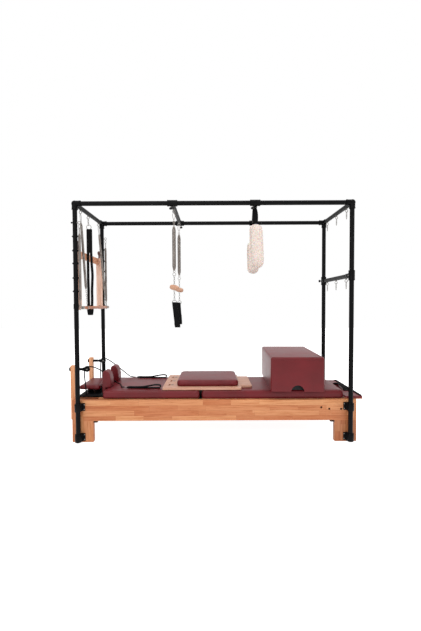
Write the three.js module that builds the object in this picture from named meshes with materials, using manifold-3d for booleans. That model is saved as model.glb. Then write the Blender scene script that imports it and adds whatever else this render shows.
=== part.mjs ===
// A pilates trapeze table combined with a reformer: a wooden base with a sliding carriage, an insert mat, a
// black tube canopy with sliding crossbars, and the springs, straps, bars and loops that hang from it.
// Millimetres, +Z up, X along the bed with the head end at -X, Y across it with the front at -Y.
import * as THREE from "three";
import { mergeVertices } from "three/addons/utils/BufferGeometryUtils.js";
import Module from "manifold-3d";

const wasm = await Module();
wasm.setup();

// Clearances that every piece shares
const gap = 0.3;
const slideGap = 0.7;
const overrun = 3;
const weld = 0.01;
const roundFlat = 1;

// Base
const baseLength = 2408;
const baseWidth = 672;
const railTop = 357;
const railDepth = 177;
const sideThickness = 42;
const legWidth = 200;
const endThickness = 34;
const boltRadius = 7.5;
const boltRecess = 6;
const boltFromEnd = [298, 231, 130];
const boltBelowTop = [67, 80, 81];
const ledgeReach = 32;
const ledgeThickness = 6;
const ledgeDrop = 71;
const ledgeTop = railTop - ledgeDrop;
const ledgeEndGap = 54;
const cornerBlock = [34, 30, 14];
const springBarFromEnd = 204;
const springBarSize = [40, 8];
const springBarHooks = 5;
const springHookShare = 0.8;
const hookPostRadius = 5;
const hookPostHeight = 24;

// Canopy
const tubeRadius = 19;
const tubeSides = 14;
const fittingSides = 12;
const postInset = 64;
const postStandOff = 34;
const postX = baseLength / 2 - postInset;
const postY = baseWidth / 2 + postStandOff;
const postFoot = 13;
const canopyHeight = 1996;
const socketRadius = 25;
const ballRadius = 26;
const socketReach = 50;
const socketStop = 21;
const saddleRadius = 27;
const saddleHeight = 66;
const lowSaddle = 52;
const highSaddleDrop = 54;
const saddleZ = [lowSaddle, railTop - highSaddleDrop];
const saddlePlate = 6;
const saddlePlateReach = 55;
const saddlePlateBack = 24;
const saddleWeb = 40;
const eyeRadius = 11;
const eyeWire = 3;
const shankRadius = 4;
const shankLength = 8;
const postBoltDrop = [267, 383, 489, 609, 719];
const postBoltRadius = 5;
const postBoltOut = 14;
const postEyeDrop = 155;
const postEyeOffset = 35;
const endEyeInset = [130, 115];
const safetyEyeY = -45;
const rightEyeInset = [123, 110];
const snapWidth = 16;
const snapLength = 62;
const snapWire = 3;

// Crossbars that slide
const teeRadius = 26;
const teeLength = 82;
const teeSocketRadius = 24;
const teeSocketReach = 56;
const knobRadius = 14;
const knobHeight = 16;
const knobStemRadius = 5;
const knobNeck = 9;
const leftBarX = -338;
const rightBarFrontX = 343;
const rightBarRearX = 416;
const leftKnobShift = 12;
const rightKnobShift = 22;
const midBarDrop = 597;
const midEyeInset = 120;
const hangerInset = 120;

// Springs, shared by all six
const springWire = 2.5;
const coilSteps = 8;
const coilSides = 5;

// Centre springs with grip and ankle strap
const centreCoilRadius = 14.5;
const centreCoilDrop = [143, 539];
const centreTurns = 7;
const centreSpringDrop = 558;
const gripDrop = 686;
const gripLength = 100;
const gripRadius = 22;
const gripTilt = 12;
const chainRadius = 3;
const strapRing = 16;
const strapRingWire = 3.5;
const ankleDrop = [814, 1028];
const ankleWidth = 47;
const ankleDepth = 64;
const webbing = 6;

// Fleece loops
const fleeceInset = 82;
const fleeceDrop = [150, 528];
const fleeceWidth = 100;
const fleeceDepth = 116;
const fleeceSlot = 40;
const fleeceEdge = 10;
const collarWall = 5;
const collarWidth = 46;
const hangerWidth = 46;
const hangerNeck = 26;
const hangerDepth = 14;

// Push-through bar
const pivotOut = 10;
const pivotDrop = 846;
const pivotRadius = 6;
const pivotClear = 0.4;
const pivotCollarHeight = 50;
const armWidth = 59;
const armThickness = 22;
const armInset = 70;
const armTopDrop = 364;
const armRound = 14;
const pushRailHeight = 62;
const pushRailThickness = 22;
const pushRailInset = 1;
const pushKnobRadius = 17;
const pushKnobNeck = 9;
const pushKnobHeight = 56;

// Safety strap
const safetyWidth = 40;
const safetyThickness = 22;
const safetyShift = 8.5;
const safetyDrop = [138, 926];
const safetySlitDrop = [336, 860];
const safetySlit = 7;
const safetyPadDrop = 879;
const safetyPadWidth = 56;
const safetyPadTaper = 6;
const safetyPadEase = 8;
const safetyRing = 14;

// Roll-down bar and the springs at the head end
const sideCoilRadius = 8;
const slantCoilDrop = [130, 694];
const slantTurns = 8;
const rollBarRadius = 13;
const rollBarInset = 29;
const rollBarDrop = 855;
const rollBarIn = 56;
const rollBarYaw = 2.3;
const rollCollarRadius = 15.5;
const rollCollarWidth = 16;
const straightCoilDrop = [244, 800];
const straightTurns = 8;
const straightDrop = 874;

// Risers, pulleys and ropes
const riserClear = 1;
const riserInset = 56;
const riserThickness = 37;
const riserWidth = 44;
const riserCorner = 5;
const riserFootDrop = 10;
const riserRise = 283;
const cleatWidth = 18;
const cleatInset = [12, 7];
const cleatStrap = 5;
const cleatStrapHeight = 40;
const pulleyBelowTop = 34;
const pulleyReach = 102;
const sheaveRadius = 24;
const sheaveGroove = 16;
const sheaveWidth = 12;
const sheaveBore = 4.4;
const sheaveAxle = 4;
const cheekGap = 14;
const cheekThickness = 3;
const cheekRadius = 21;
const cheekNeck = 11;
const blockStemRadius = 5;
const blockBridge = 14;
const ropeRadius = 3.5;
const ropeSides = 8;
const ropeRide = 3.4;
const ropeSteps = [38, 27];

// Carriage
const matSetBack = 30;
const matWidth = baseWidth - 2 * matSetBack;
const matRise = 73;
const matTop = railTop + matRise;
const matCorner = 26;
const matCrown = 3;
const matTuck = 5;
const carriageFromHead = 257;
const carriageLength = 825;
const carriageLift = 5;
const carriageBoardOut = [53, 13];
const carriageBoardGap = 24;
const carriageBoardThickness = 19.7;
const headBoardFromEnd = 29;
const headBoardToMat = 4;
const headBoardGap = 44;
const headBoardRise = 18;
const wheelFromBoardEnd = [100, 95];
const wheelRadius = 25;
const wheelWidth = 18;
const wheelInset = 16;
const axleRadius = 6;
const axleClear = 0.8;
const hangerBlock = [34, 16];
const hangerBlockInset = 34;
const headrestOver = 15;
const headrestLength = 176;
const headrestWidth = 360;
const propHeight = 31;
const headrestHeight = 72;
const propSize = [36, 44];
const propIn = 55;
const propY = 100;
const restOut = [40, 61];
const restRise = 158;
const restThickness = 110;
const restSpacing = 270;
const restBevel = 12;
const restNoseTuck = 8;
const restBulge = 6;
const restBellyRise = 70;
const restShoulder = 22;
const restCrest = 4;
const restBackEase = [14, 44];
const restPeg = 6;
const restPegDepth = 14;
const restPegClear = 1;
const cleatPostIn = 50;
const cleatPostInset = 38;
const cleatPostRadius = 7;
const cleatPostHeight = 14;

// Insert mat, jump board and sitting box
const matGap = 12;
const jumpBoardX = [-446, 236];
const jumpBoardWidth = 580;
const jumpBoardThickness = 19;
const jumpTabReach = 99;
const jumpTabWidth = 420;
const jumpBoardCorner = 14;
const jumpSlot = [18, 58];
const jumpSlotX = -396;
const jumpSlotY = [-165, 0, 165];
const jumpPadX = [-318, 208];
const jumpPadWidth = 482;
const jumpPadHeight = 56;
const jumpPadCorner = 44;
const boxX = [478, 922];
const boxY = [-355, 445];
const boxHeight = 290;
const boxCorner = 20;
const notchRadius = 54;
const notchDepth = 70;

// Foot platform and its strap
const platformReach = [91, 56];
const platformSetBack = 6;
const platformHeight = 27;
const platformCorner = 16;
const edgeStrip = [24, 4];
const archSpan = 300;
const archRise = 46;
const archWidth = 48;
const archIn = 77;
const archBand = 5;
const archFoot = 26;
const archPullShare = 1.35;
const archBandShare = 1.4;
const stripSetBack = 2;

// The handle loop at the end of each rope
const loopX = [-768, -462];
const loopFrontY = -212;
const loopRearY = 236;
const loopWidth = 62;
const loopBand = 7;
const loopHeight = 38;
const loopNeck = 14;
const clipRadius = 5;
const clipLength = 20;
const clipHeight = 11;

// Places that follow from the sizes above
const middleOf = ([low, high]) => (low + high) / 2;
const lengthOf = ([low, high]) => high - low;
const belowCanopy = (drop) => canopyHeight - drop;
const baseEnd = baseLength / 2;
const railBottom = railTop - railDepth;
const sideInner = baseWidth / 2 - sideThickness;
const endBoardY = sideInner - gap;
const springBarX = baseEnd - springBarFromEnd;
const postBoltZ = postBoltDrop.map(belowCanopy);
const postEyeZ = belowCanopy(postEyeDrop);
const endEyeY = [endEyeInset[0] - postY, safetyEyeY, postY - endEyeInset[1]];
const rightEyeY = [rightEyeInset[0] - postY, 0, postY - rightEyeInset[1]];
const midBarZ = belowCanopy(midBarDrop);
const midEyeY = [midEyeInset - postY, 0, postY - midEyeInset];
const hangerY = postY - hangerInset;
const [centreCoilTop, centreCoilBottom] = centreCoilDrop.map(belowCanopy);
const centreSpringEnd = belowCanopy(centreSpringDrop);
const gripZ = belowCanopy(gripDrop);
const [ankleTop, ankleBottom] = ankleDrop.map(belowCanopy);
const fleeceY = postY - fleeceInset;
const pivotX = -postX - pivotOut;
const pivotZ = belowCanopy(pivotDrop);
const armY = postY - armInset;
const armTop = belowCanopy(armTopDrop);
const [safetyTop, safetyBottom] = safetyDrop.map(belowCanopy);
const [safetySlitTop, safetySlitBottom] = safetySlitDrop.map(belowCanopy);
const safetyPadTop = belowCanopy(safetyPadDrop);
const [slantCoilTop, slantCoilBottom] = slantCoilDrop.map(belowCanopy);
const rollBarLength = 2 * (postY - rollBarInset);
const rollBarZ = belowCanopy(rollBarDrop);
const rollBarX = rollBarIn - postX;
const [straightCoilTop, straightCoilBottom] = straightCoilDrop.map(belowCanopy);
const straightEnd = belowCanopy(straightDrop);
const riserX = -(baseEnd + riserClear + riserThickness / 2);
const riserY = sideInner - riserInset;
const riserFoot = railBottom - riserFootDrop;
const riserTop = railTop + riserRise;
const cleatFoot = railBottom + cleatInset[0];
const cleatTop = railTop - cleatInset[1];
const pulleyZ = riserTop - pulleyBelowTop;
const pulleyX = riserX + riserThickness / 2 + pulleyReach;
const carriageMatX = [carriageFromHead - baseEnd, carriageFromHead + carriageLength - baseEnd];
const carriageMatFoot = railTop + carriageLift;
const carriageBoardX = carriageMatX.map((x, i) => x - carriageBoardOut[i]);
const carriageBoardWidth = 2 * (sideInner - carriageBoardGap);
const headBoardX = [headBoardFromEnd - baseEnd, carriageMatX[0] - headBoardToMat];
const headBoardWidth = 2 * (sideInner - headBoardGap);
const headBoardTop = carriageMatFoot + headBoardRise;
const wheelX = [carriageBoardX[0] + wheelFromBoardEnd[0], carriageBoardX[1] - wheelFromBoardEnd[1]];
const wheelY = sideInner - wheelInset;
const hangerBlockY = wheelY - hangerBlockInset;
const headrestX = [headBoardX[0] - headrestOver, headBoardX[0] - headrestOver + headrestLength];
const headrestFoot = headBoardTop + propHeight;
const propX = headBoardX[0] + propIn;
const restX = [carriageMatX[0] - restOut[0], carriageMatX[0] + restOut[1]];
const restTop = matTop + restRise;
const cleatPostX = headBoardX[0] + cleatPostIn;
const cleatPostY = headBoardWidth / 2 - cleatPostInset;
const platformX = [baseEnd - platformReach[0], baseEnd + platformReach[1]];
const platformWidth = baseWidth - 2 * platformSetBack;
const archX = platformX[0] + archIn;
const insertMatX = [carriageMatX[1] + matGap, platformX[0] - matGap];

// Materials
const finish = (color, roughness, metalness = 0) =>
  new THREE.MeshStandardMaterial({ color, roughness, metalness });
const wood = finish(0xd3916f, 0.55);
const paleWood = finish(0xdba58a, 0.55);
const blackMetal = finish(0x1a1a1c, 0.4, 0.6);
const steel = finish(0xa39c94, 0.35, 0.9);
const blackPlastic = finish(0x101011, 0.5);
const vinyl = finish(0x6c3138, 0.45);
const webbingBlack = finish(0x121212, 0.9);
const fleece = finish(0xe9dcd2, 1);

// Joining and cutting
function toSolid(geometry) {
  const bare = geometry.clone();
  bare.deleteAttribute("normal");
  bare.deleteAttribute("uv");
  const merged = mergeVertices(bare, weld);
  const vertProperties = merged.attributes.position.array;
  const triVerts = new Uint32Array(merged.index.array);
  return new wasm.Manifold(new wasm.Mesh({ numProp: 3, vertProperties, triVerts }));
}

function toGeometry(solid) {
  const { vertProperties, triVerts } = solid.getMesh();
  const geometry = new THREE.BufferGeometry();
  geometry.setAttribute("position", new THREE.BufferAttribute(vertProperties, 3));
  geometry.setIndex(new THREE.BufferAttribute(triVerts, 1));
  geometry.computeVertexNormals();
  return geometry;
}

const join = (pieces) => toGeometry(pieces.map(toSolid).reduce((a, b) => a.add(b)));
const cut = (body, tools) => toGeometry(tools.map(toSolid).reduce((a, b) => a.subtract(b), toSolid(body)));

// Basic shapes
const box = (x, y, z) => new THREE.BoxGeometry(x, y, z);
const shifted = (geometry, x, y, z) => geometry.clone().translate(x, y, z);

// A box given by its low and high values along each axis
function boxFrom([x0, x1], [y0, y1], [z0, z1]) {
  return box(x1 - x0, y1 - y0, z1 - z0).translate((x0 + x1) / 2, (y0 + y1) / 2, (z0 + z1) / 2);
}

// A round bar along one axis, from one coordinate to another
function rod(radius, from, to, axis, sides = tubeSides) {
  const geometry = new THREE.CylinderGeometry(radius, radius, Math.abs(to - from), sides);
  const middle = (from + to) / 2;
  if (axis === "x") return geometry.rotateZ(Math.PI / 2).translate(middle, 0, 0);
  if (axis === "z") return geometry.rotateX(Math.PI / 2).translate(0, 0, middle);
  return geometry.translate(0, middle, 0);
}

// A ring of wire whose hole faces along the axis
function ring(radius, wire, axis, steps = 8) {
  const geometry = new THREE.TorusGeometry(radius, wire, 4, steps);
  if (axis === "x") return geometry.rotateY(Math.PI / 2);
  if (axis === "y") return geometry.rotateX(Math.PI / 2);
  return geometry;
}

function roundedRectangle(width, height, radius) {
  const [a, b] = [width / 2, height / 2];
  const shape = new THREE.Shape();
  shape.absarc(a - radius, b - radius, radius, 0, Math.PI / 2);
  shape.absarc(radius - a, b - radius, radius, Math.PI / 2, Math.PI);
  shape.absarc(radius - a, radius - b, radius, Math.PI, 1.5 * Math.PI);
  shape.absarc(a - radius, radius - b, radius, 1.5 * Math.PI, 2 * Math.PI);
  return shape;
}

// An outline drawn in X and Z, given its depth along Y, centred on Y = 0
function extrudeY(shape, depth, curveSegments = 4, bevel = 0) {
  const bevelSettings = { bevelThickness: bevel, bevelSize: bevel, bevelOffset: -bevel, bevelSegments: 1 };
  const settings = { depth: depth - 2 * bevel, curveSegments, bevelEnabled: bevel > 0, ...bevelSettings };
  return new THREE.ExtrudeGeometry(shape, settings).rotateX(Math.PI / 2).translate(0, depth / 2 - bevel, 0);
}

// An outline drawn in Y and Z, given its depth along X, centred on X = 0
function extrudeX(shape, depth, curveSegments = 4, bevel = 0) {
  return extrudeY(shape, depth, curveSegments, bevel).rotateZ(Math.PI / 2);
}

// An outline drawn in X and Y, given its height along Z, standing on Z = 0
function extrudeZ(shape, depth, curveSegments = 4) {
  return new THREE.ExtrudeGeometry(shape, { depth, curveSegments, bevelEnabled: false });
}

function polygon(points) {
  return new THREE.Shape(points.map(([x, y]) => new THREE.Vector2(x, y)));
}

// A closed skin over rings of points with equal counts, with a fan over the first ring and the last
function skin(rings, firstTip, lastTip) {
  const count = rings[0].length;
  const position = [...rings.flat(), firstTip, lastTip].flatMap((p) => [p.x, p.y, p.z]);
  const index = [];
  const firstTipAt = rings.length * count;
  for (let k = 0; k < count; k++) {
    const next = (k + 1) % count;
    for (let r = 0; r + 1 < rings.length; r++) {
      const [low, high] = [r * count, (r + 1) * count];
      index.push(low + k, low + next, high + next, low + k, high + next, high + k);
    }
    const top = (rings.length - 1) * count;
    index.push(next, k, firstTipAt, top + k, top + next, firstTipAt + 1);
  }
  const geometry = new THREE.BufferGeometry();
  geometry.setAttribute("position", new THREE.Float32BufferAttribute(position, 3));
  geometry.setIndex(index);
  geometry.computeVertexNormals();
  return geometry;
}

// A stuffed cushion standing on Z = 0: sides drawn in at the two seams, a crowned top
function cushion(length, width, height, corner, crown, tuck) {
  const cornerSteps = 2;
  const narrow = Math.min(length, width);
  const levels = [
    [tuck, 0],
    [tuck / 4, height / 8],
    [0, height / 3],
    [tuck / 4, height * 0.6],
    [tuck, height - 2 * crown - tuck],
    [2 * tuck, height - crown - tuck / 2],
    [4 * tuck, height - crown],
    [narrow / 4, height - crown / 4],
  ];
  const rings = levels.map(([inset, z]) => {
    const [a, b] = [length / 2 - inset, width / 2 - inset];
    const radius = Math.max(corner - inset / 2, tuck);
    const points = [];
    for (let quarter = 0; quarter < 4; quarter++) {
      const [sx, sy] = [
        [1, 1],
        [-1, 1],
        [-1, -1],
        [1, -1],
      ][quarter];
      for (let step = 0; step <= cornerSteps; step++) {
        const angle = ((quarter + step / cornerSteps) * Math.PI) / 2;
        const x = sx * (a - radius) + radius * Math.cos(angle);
        const y = sy * (b - radius) + radius * Math.sin(angle);
        points.push(new THREE.Vector3(x, y, z));
      }
    }
    return points;
  });
  return skin(rings, new THREE.Vector3(), new THREE.Vector3(0, 0, height));
}

// A coil spring as one unbroken tube between two points: a straight end, a coil that widens from the line
// between them and closes on it again, and a straight end
const springGaps = {};
function spring(name, from, to, coilFrom, coilTo, radius, turns) {
  const [start, end] = [new THREE.Vector3(...from), new THREE.Vector3(...to)];
  const length = start.distanceTo(end);
  const along = end.clone().sub(start).divideScalar(length);
  const side = new THREE.Vector3(0, 1, 0).cross(along).normalize();
  const other = along.clone().cross(side);
  const steps = turns * coilSteps;
  const path = [start.clone()];
  for (let i = 0; i <= steps; i++) {
    const angle = (i / coilSteps) * 2 * Math.PI;
    const widening = Math.min(1, i / coilSteps, (steps - i) / coilSteps);
    const at = coilFrom + (i / steps) * (length - coilFrom - coilTo);
    const point = start.clone().addScaledVector(along, at);
    point.addScaledVector(side, radius * widening * Math.cos(angle));
    path.push(point.addScaledVector(other, radius * widening * Math.sin(angle)));
  }
  path.push(end.clone());
  let least = Infinity;
  for (let i = 0; i < path.length; i++)
    for (let k = i + coilSteps / 2; k < path.length; k++)
      least = Math.min(least, path[i].distanceTo(path[k]) - 2 * springWire);
  springGaps[name] = least;
  let across = side.clone();
  const rings = path.map((point, i) => {
    const before = path[Math.max(0, i - 1)];
    const after = path[Math.min(path.length - 1, i + 1)];
    const tangent = i === 0 || i === path.length - 1 ? along : after.clone().sub(before).normalize();
    across = across.addScaledVector(tangent, -across.dot(tangent)).normalize();
    const third = tangent.clone().cross(across);
    return Array.from({ length: coilSides }, (_, k) => {
      const angle = (k / coilSides) * 2 * Math.PI;
      const onRing = point.clone().addScaledVector(across, springWire * Math.cos(angle));
      return onRing.addScaledVector(third, springWire * Math.sin(angle));
    });
  });
  return skin(rings, start, end);
}

// An eyebolt under a bar: shank and ring, hanging below the height z
function eyeUnder(x, y, z, axis = "y") {
  const shank = shifted(rod(shankRadius, z + overrun, z - shankLength - eyeWire, "z", 5), x, y, 0);
  return [shank, shifted(ring(eyeRadius, eyeWire, axis), x, y, z - shankLength - eyeRadius)];
}
const eyeDrop = shankLength + 2 * eyeRadius + eyeWire;
const underTube = (z) => z - tubeRadius;
const eyeFoot = (z) => underTube(z) - eyeDrop;

// A snap hook that hangs closed in the ring of an eyebolt: a narrow loop of wire with its swivel
function snapHook(x, y, z) {
  const outer = roundedRectangle(snapWidth, snapLength, snapWidth / 2);
  const [inside, insideLength] = [snapWidth - 2 * snapWire, snapLength - 2 * snapWire];
  outer.holes.push(roundedRectangle(inside, insideLength, inside / 2));
  return shifted(extrudeX(outer, 2 * snapWire, 1), x, y, z - snapLength / 2 + eyeWire);
}

// Base pieces
function sideFrame(direction) {
  const legInner = baseEnd - legWidth;
  const outline = polygon([
    [-baseEnd, 0],
    [-legInner, 0],
    [-legInner, railBottom],
    [legInner, railBottom],
    [legInner, 0],
    [baseEnd, 0],
    [baseEnd, railTop],
    [-baseEnd, railTop],
  ]);
  const middleY = (direction * (baseWidth - sideThickness)) / 2;
  const side = extrudeY(outline, sideThickness).translate(0, middleY, 0);
  const ledgeX = baseEnd - ledgeEndGap;
  const ledgeY = [sideInner - ledgeReach, sideInner + overrun].map((y) => direction * y);
  ledgeY.sort((a, b) => a - b);
  const ledge = boxFrom([-ledgeX, ledgeX], ledgeY, [ledgeTop - ledgeThickness, ledgeTop]);
  const [blockX, blockY, blockZ] = cornerBlock;
  const blocks = [-1, 1].map((end) =>
    shifted(
      box(blockX, blockY, blockZ + overrun),
      end * (legInner - blockX / 2 + overrun),
      direction * (baseWidth / 2 - blockY / 2 - overrun),
      railBottom - (blockZ - overrun) / 2,
    ),
  );
  const recesses = boltFromEnd.map((fromEnd, i) => {
    const face = (direction * baseWidth) / 2;
    const recess = rod(boltRadius, face - direction * boltRecess, face + direction * overrun, "y", 8);
    return shifted(recess, baseEnd - fromEnd, 0, railTop - boltBelowTop[i]);
  });
  return cut(join([side, ledge, ...blocks]), recesses);
}

function headEndBoard() {
  const board = boxFrom([-baseEnd, endThickness - baseEnd], [-endBoardY, endBoardY], [railBottom, railTop]);
  const pieces = [board];
  const outer = riserX - riserThickness / 2;
  for (const direction of [-1, 1]) {
    const middle = direction * riserY;
    const inner = riserWidth / 2 + slideGap;
    for (const side of [-1, 1]) {
      const y = [middle + side * inner, middle + side * (inner + cleatWidth)].sort((a, b) => a - b);
      pieces.push(boxFrom([outer - slideGap, overrun - baseEnd], y, [cleatFoot, cleatTop]));
    }
    const strapY = [middle - inner - cleatWidth, middle + inner + cleatWidth];
    const strapMiddle = (cleatFoot + cleatTop) / 2;
    const strapZ = [strapMiddle - cleatStrapHeight / 2, strapMiddle + cleatStrapHeight / 2];
    pieces.push(boxFrom([outer - slideGap - cleatStrap, outer - slideGap], strapY, strapZ));
  }
  return join(pieces);
}

function springBar() {
  const [width, thickness] = springBarSize;
  const pieces = [box(width, 2 * endBoardY, thickness)];
  for (let i = 0; i < springBarHooks; i++) {
    const y = ((2 * i + 1) / springBarHooks - 1) * endBoardY * springHookShare;
    pieces.push(shifted(rod(hookPostRadius, 0, thickness / 2 + hookPostHeight, "z", 6), 0, y, 0));
  }
  return join(pieces);
}

// Posts with their saddle clamps, in a frame on the post's own axis
function post(inward, toFrame, isHead) {
  const top = canopyHeight - socketStop - gap;
  const pieces = [rod(tubeRadius, postFoot, top, "z")];
  const reach = postY - baseWidth / 2 - gap;
  const span = (a, b, direction) => [direction * a, direction * b].sort((p, q) => p - q);
  for (const z of saddleZ) {
    const height = [z - saddleHeight / 2, z + saddleHeight / 2];
    pieces.push(rod(saddleRadius, ...height, "z", fittingSides));
    pieces.push(boxFrom([-saddleWeb / 2, saddleWeb / 2], span(0, reach - saddlePlate / 2, toFrame), height));
    const plateX = span(-saddlePlateBack, saddlePlateReach, inward);
    pieces.push(boxFrom(plateX, span(reach - saddlePlate, reach, toFrame), height));
  }
  if (isHead) {
    const outer = -inward * (tubeRadius + postBoltOut);
    for (const z of postBoltZ) pieces.push(shifted(rod(postBoltRadius, outer, 0, "x", 5), 0, 0, z));
    const shank = rod(shankRadius, outer, inward * (postEyeOffset - eyeRadius), "x", 5);
    pieces.push(shifted(shank, 0, 0, postEyeZ));
    pieces.push(shifted(ring(eyeRadius, eyeWire, "y"), inward * postEyeOffset, 0, postEyeZ));
    const collar = [pivotZ - pivotCollarHeight / 2, pivotZ + pivotCollarHeight / 2];
    pieces.push(rod(saddleRadius, ...collar, "z", fittingSides));
    const pinEnd = postY - armY + armThickness / 2 + pivotRadius;
    pieces.push(shifted(rod(pivotRadius, 0, toFrame * pinEnd, "y", 10), pivotX + postX, 0, pivotZ));
  }
  return join(pieces);
}

// A long top rail with its two corner fittings, in a frame on the rail's axis
function topRail(toRear) {
  const pieces = [rod(tubeRadius, -postX, postX, "x")];
  const bores = [];
  for (const end of [-1, 1]) {
    const x = end * postX;
    const fitting = [
      new THREE.SphereGeometry(ballRadius, 8, 5),
      rod(socketRadius, 0, -end * socketReach, "x", fittingSides),
      rod(socketRadius, 0, toRear * socketReach, "y", fittingSides),
      rod(socketRadius, 0, -socketReach, "z", fittingSides),
    ];
    pieces.push(...fitting.map((piece) => shifted(piece, x, 0, 0)));
    const bore = tubeRadius + gap;
    bores.push(shifted(rod(bore, -socketStop, -socketReach - overrun, "z"), x, 0, 0));
    bores.push(shifted(rod(bore, toRear * socketStop, toRear * (socketReach + overrun), "y"), x, 0, 0));
  }
  return cut(join(pieces), bores);
}

const endBarReach = postY - socketStop - gap;

function headCrossbar() {
  const eyes = endEyeY.flatMap((y) => eyeUnder(0, y, -tubeRadius));
  return join([rod(tubeRadius, -endBarReach, endBarReach, "y"), ...eyes]);
}

function footCrossbar() {
  const eyes = rightEyeY.flatMap((y) => eyeUnder(0, y, -tubeRadius));
  const hooks = rightEyeY.map((y) => snapHook(0, y, -tubeRadius - eyeDrop + eyeWire));
  return join([rod(tubeRadius, -endBarReach, endBarReach, "y"), ...eyes, ...hooks]);
}

// A tube between two sleeves. The sleeves slide along the given axis, and each has a hole for its clamp knob.
function slidingBar(frontShift, rearShift, axis, extras, knobHoles) {
  const span = new THREE.Vector3(rearShift - frontShift, 2 * postY, 0);
  const tilt = Math.atan2(-span.x, span.y);
  const middle = (frontShift + rearShift) / 2;
  const half = span.length() / 2;
  const along = (piece) => piece.rotateZ(tilt).translate(middle, 0, 0);
  const pieces = [along(rod(tubeRadius, -half, half, "y"))];
  pieces.push(along(rod(teeSocketRadius, -half, teeSocketReach - half, "y", fittingSides)));
  pieces.push(along(rod(teeSocketRadius, half - teeSocketReach, half, "y", fittingSides)));
  const bores = [];
  for (const [end, shift] of [
    [-1, frontShift],
    [1, rearShift],
  ]) {
    const sleeve = rod(teeRadius, -teeLength / 2, teeLength / 2, axis, fittingSides);
    const bore = rod(tubeRadius + slideGap, -teeLength, teeLength, axis);
    pieces.push(shifted(sleeve, shift, end * postY, 0));
    bores.push(shifted(bore, shift, end * postY, 0));
  }
  return cut(join([...pieces, ...extras]), [...bores, ...knobHoles]);
}

// A clamp knob whose screw points up from its head. Z = 0 is the axis of the tube that it clamps.
function knob() {
  const head = -teeRadius - knobNeck;
  const grip = rod(knobRadius, head - knobHeight, head, "z", 8);
  return join([grip, rod(knobStemRadius, head - overrun, -tubeRadius - 2 * gap, "z", 6)]);
}
const knobHole = () => rod(knobStemRadius + slideGap, 0, -teeRadius - overrun, "z", 8);

// Centre hanging set: grip on its chain, and ankle strap on its ring
function grip() {
  const gripShares = [
    [0, -0.5],
    [0.45, -0.48],
    [0.8, -0.36],
    [1, -0.14],
    [1, 0.14],
    [0.8, 0.36],
    [0.45, 0.48],
    [0, 0.5],
  ];
  const profile = gripShares.map(([r, t]) => new THREE.Vector2(r * gripRadius, t * gripLength));
  const body = new THREE.LatheGeometry(profile, 8).rotateZ(Math.PI / 2);
  body.rotateY(THREE.MathUtils.degToRad(gripTilt));
  const top = centreSpringEnd - gripZ - gap;
  const foot = ankleTop + strapRing + strapRingWire - gripZ + gap;
  return join([
    body,
    rod(chainRadius, 0, top, "z", 6),
    rod(chainRadius, 0, foot, "z", 6),
  ]);
}

function ankleStrap() {
  const height = ankleTop - ankleBottom;
  const outer = roundedRectangle(ankleDepth, height, ankleDepth / 2 - roundFlat);
  const [inside, insideHeight] = [ankleDepth - 2 * webbing, height - 2 * webbing];
  outer.holes.push(roundedRectangle(inside, insideHeight, inside / 2 - roundFlat));
  const loop = extrudeX(outer, ankleWidth, 2).translate(0, 0, (ankleTop + ankleBottom) / 2);
  return join([loop, shifted(ring(strapRing, strapRingWire, "x"), 0, 0, ankleTop)]);
}

// A fleece loop with its webbing hanger, in a frame on the axis of the tube that carries it
function fleeceLoop() {
  const [top, bottom] = fleeceDrop.map((drop) => -drop);
  const height = top - bottom;
  const outer = roundedRectangle(fleeceDepth, height, fleeceDepth / 2 - roundFlat);
  const slotHeight = height - fleeceDepth + fleeceSlot;
  outer.holes.push(roundedRectangle(fleeceSlot, slotHeight, fleeceSlot / 2 - roundFlat));
  const loop = extrudeX(outer, fleeceWidth, 2, fleeceEdge).translate(0, 0, (top + bottom) / 2);
  const neckTop = -tubeRadius - slideGap;
  const hanger = extrudeY(
    polygon([
      [-hangerNeck / 2, neckTop],
      [-hangerWidth / 2, (neckTop + top) / 2],
      [-hangerWidth / 2, top - fleeceEdge],
      [hangerWidth / 2, top - fleeceEdge],
      [hangerWidth / 2, (neckTop + top) / 2],
      [hangerNeck / 2, neckTop],
    ]),
    hangerDepth,
  );
  const collarRadius = tubeRadius + slideGap + collarWall;
  const collar = rod(collarRadius, -collarWidth / 2, collarWidth / 2, "y", fittingSides);
  const bore = rod(tubeRadius + slideGap, -collarWidth, collarWidth, "y");
  return cut(join([loop, hanger, collar]), [bore]);
}

// Push-through bar, in a frame on its pivot
function pushThroughBar() {
  const pieces = [];
  const bores = [];
  const top = armTop - pivotZ;
  const half = armWidth / 2;
  const outline = new THREE.Shape();
  outline.absarc(0, 0, half, Math.PI, 2 * Math.PI);
  outline.lineTo(half, top - armRound);
  outline.quadraticCurveTo(half, top, half - armRound, top);
  outline.lineTo(armRound - half, top);
  outline.quadraticCurveTo(-half, top, -half, top - armRound);
  outline.closePath();
  for (const direction of [-1, 1]) {
    const arm = extrudeY(outline, armThickness, 3);
    pieces.push(shifted(arm, 0, direction * armY, 0));
    const knobBase = shifted(rod(pushKnobNeck, -overrun, pushKnobHeight, "z", 8), 0, direction * armY, top);
    const ball = new THREE.SphereGeometry(pushKnobRadius, 8, 6);
    pieces.push(knobBase, shifted(ball, 0, direction * armY, top + pushKnobHeight));
    const bore = rod(pivotRadius + pivotClear, -armThickness, armThickness, "y", 12);
    bores.push(shifted(bore, 0, direction * armY, 0));
  }
  const railX = [pushRailInset - half, pushRailInset - half + pushRailThickness];
  pieces.push(boxFrom(railX, [-armY, armY], [top - pushRailHeight, top]));
  return cut(join(pieces), bores);
}

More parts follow.
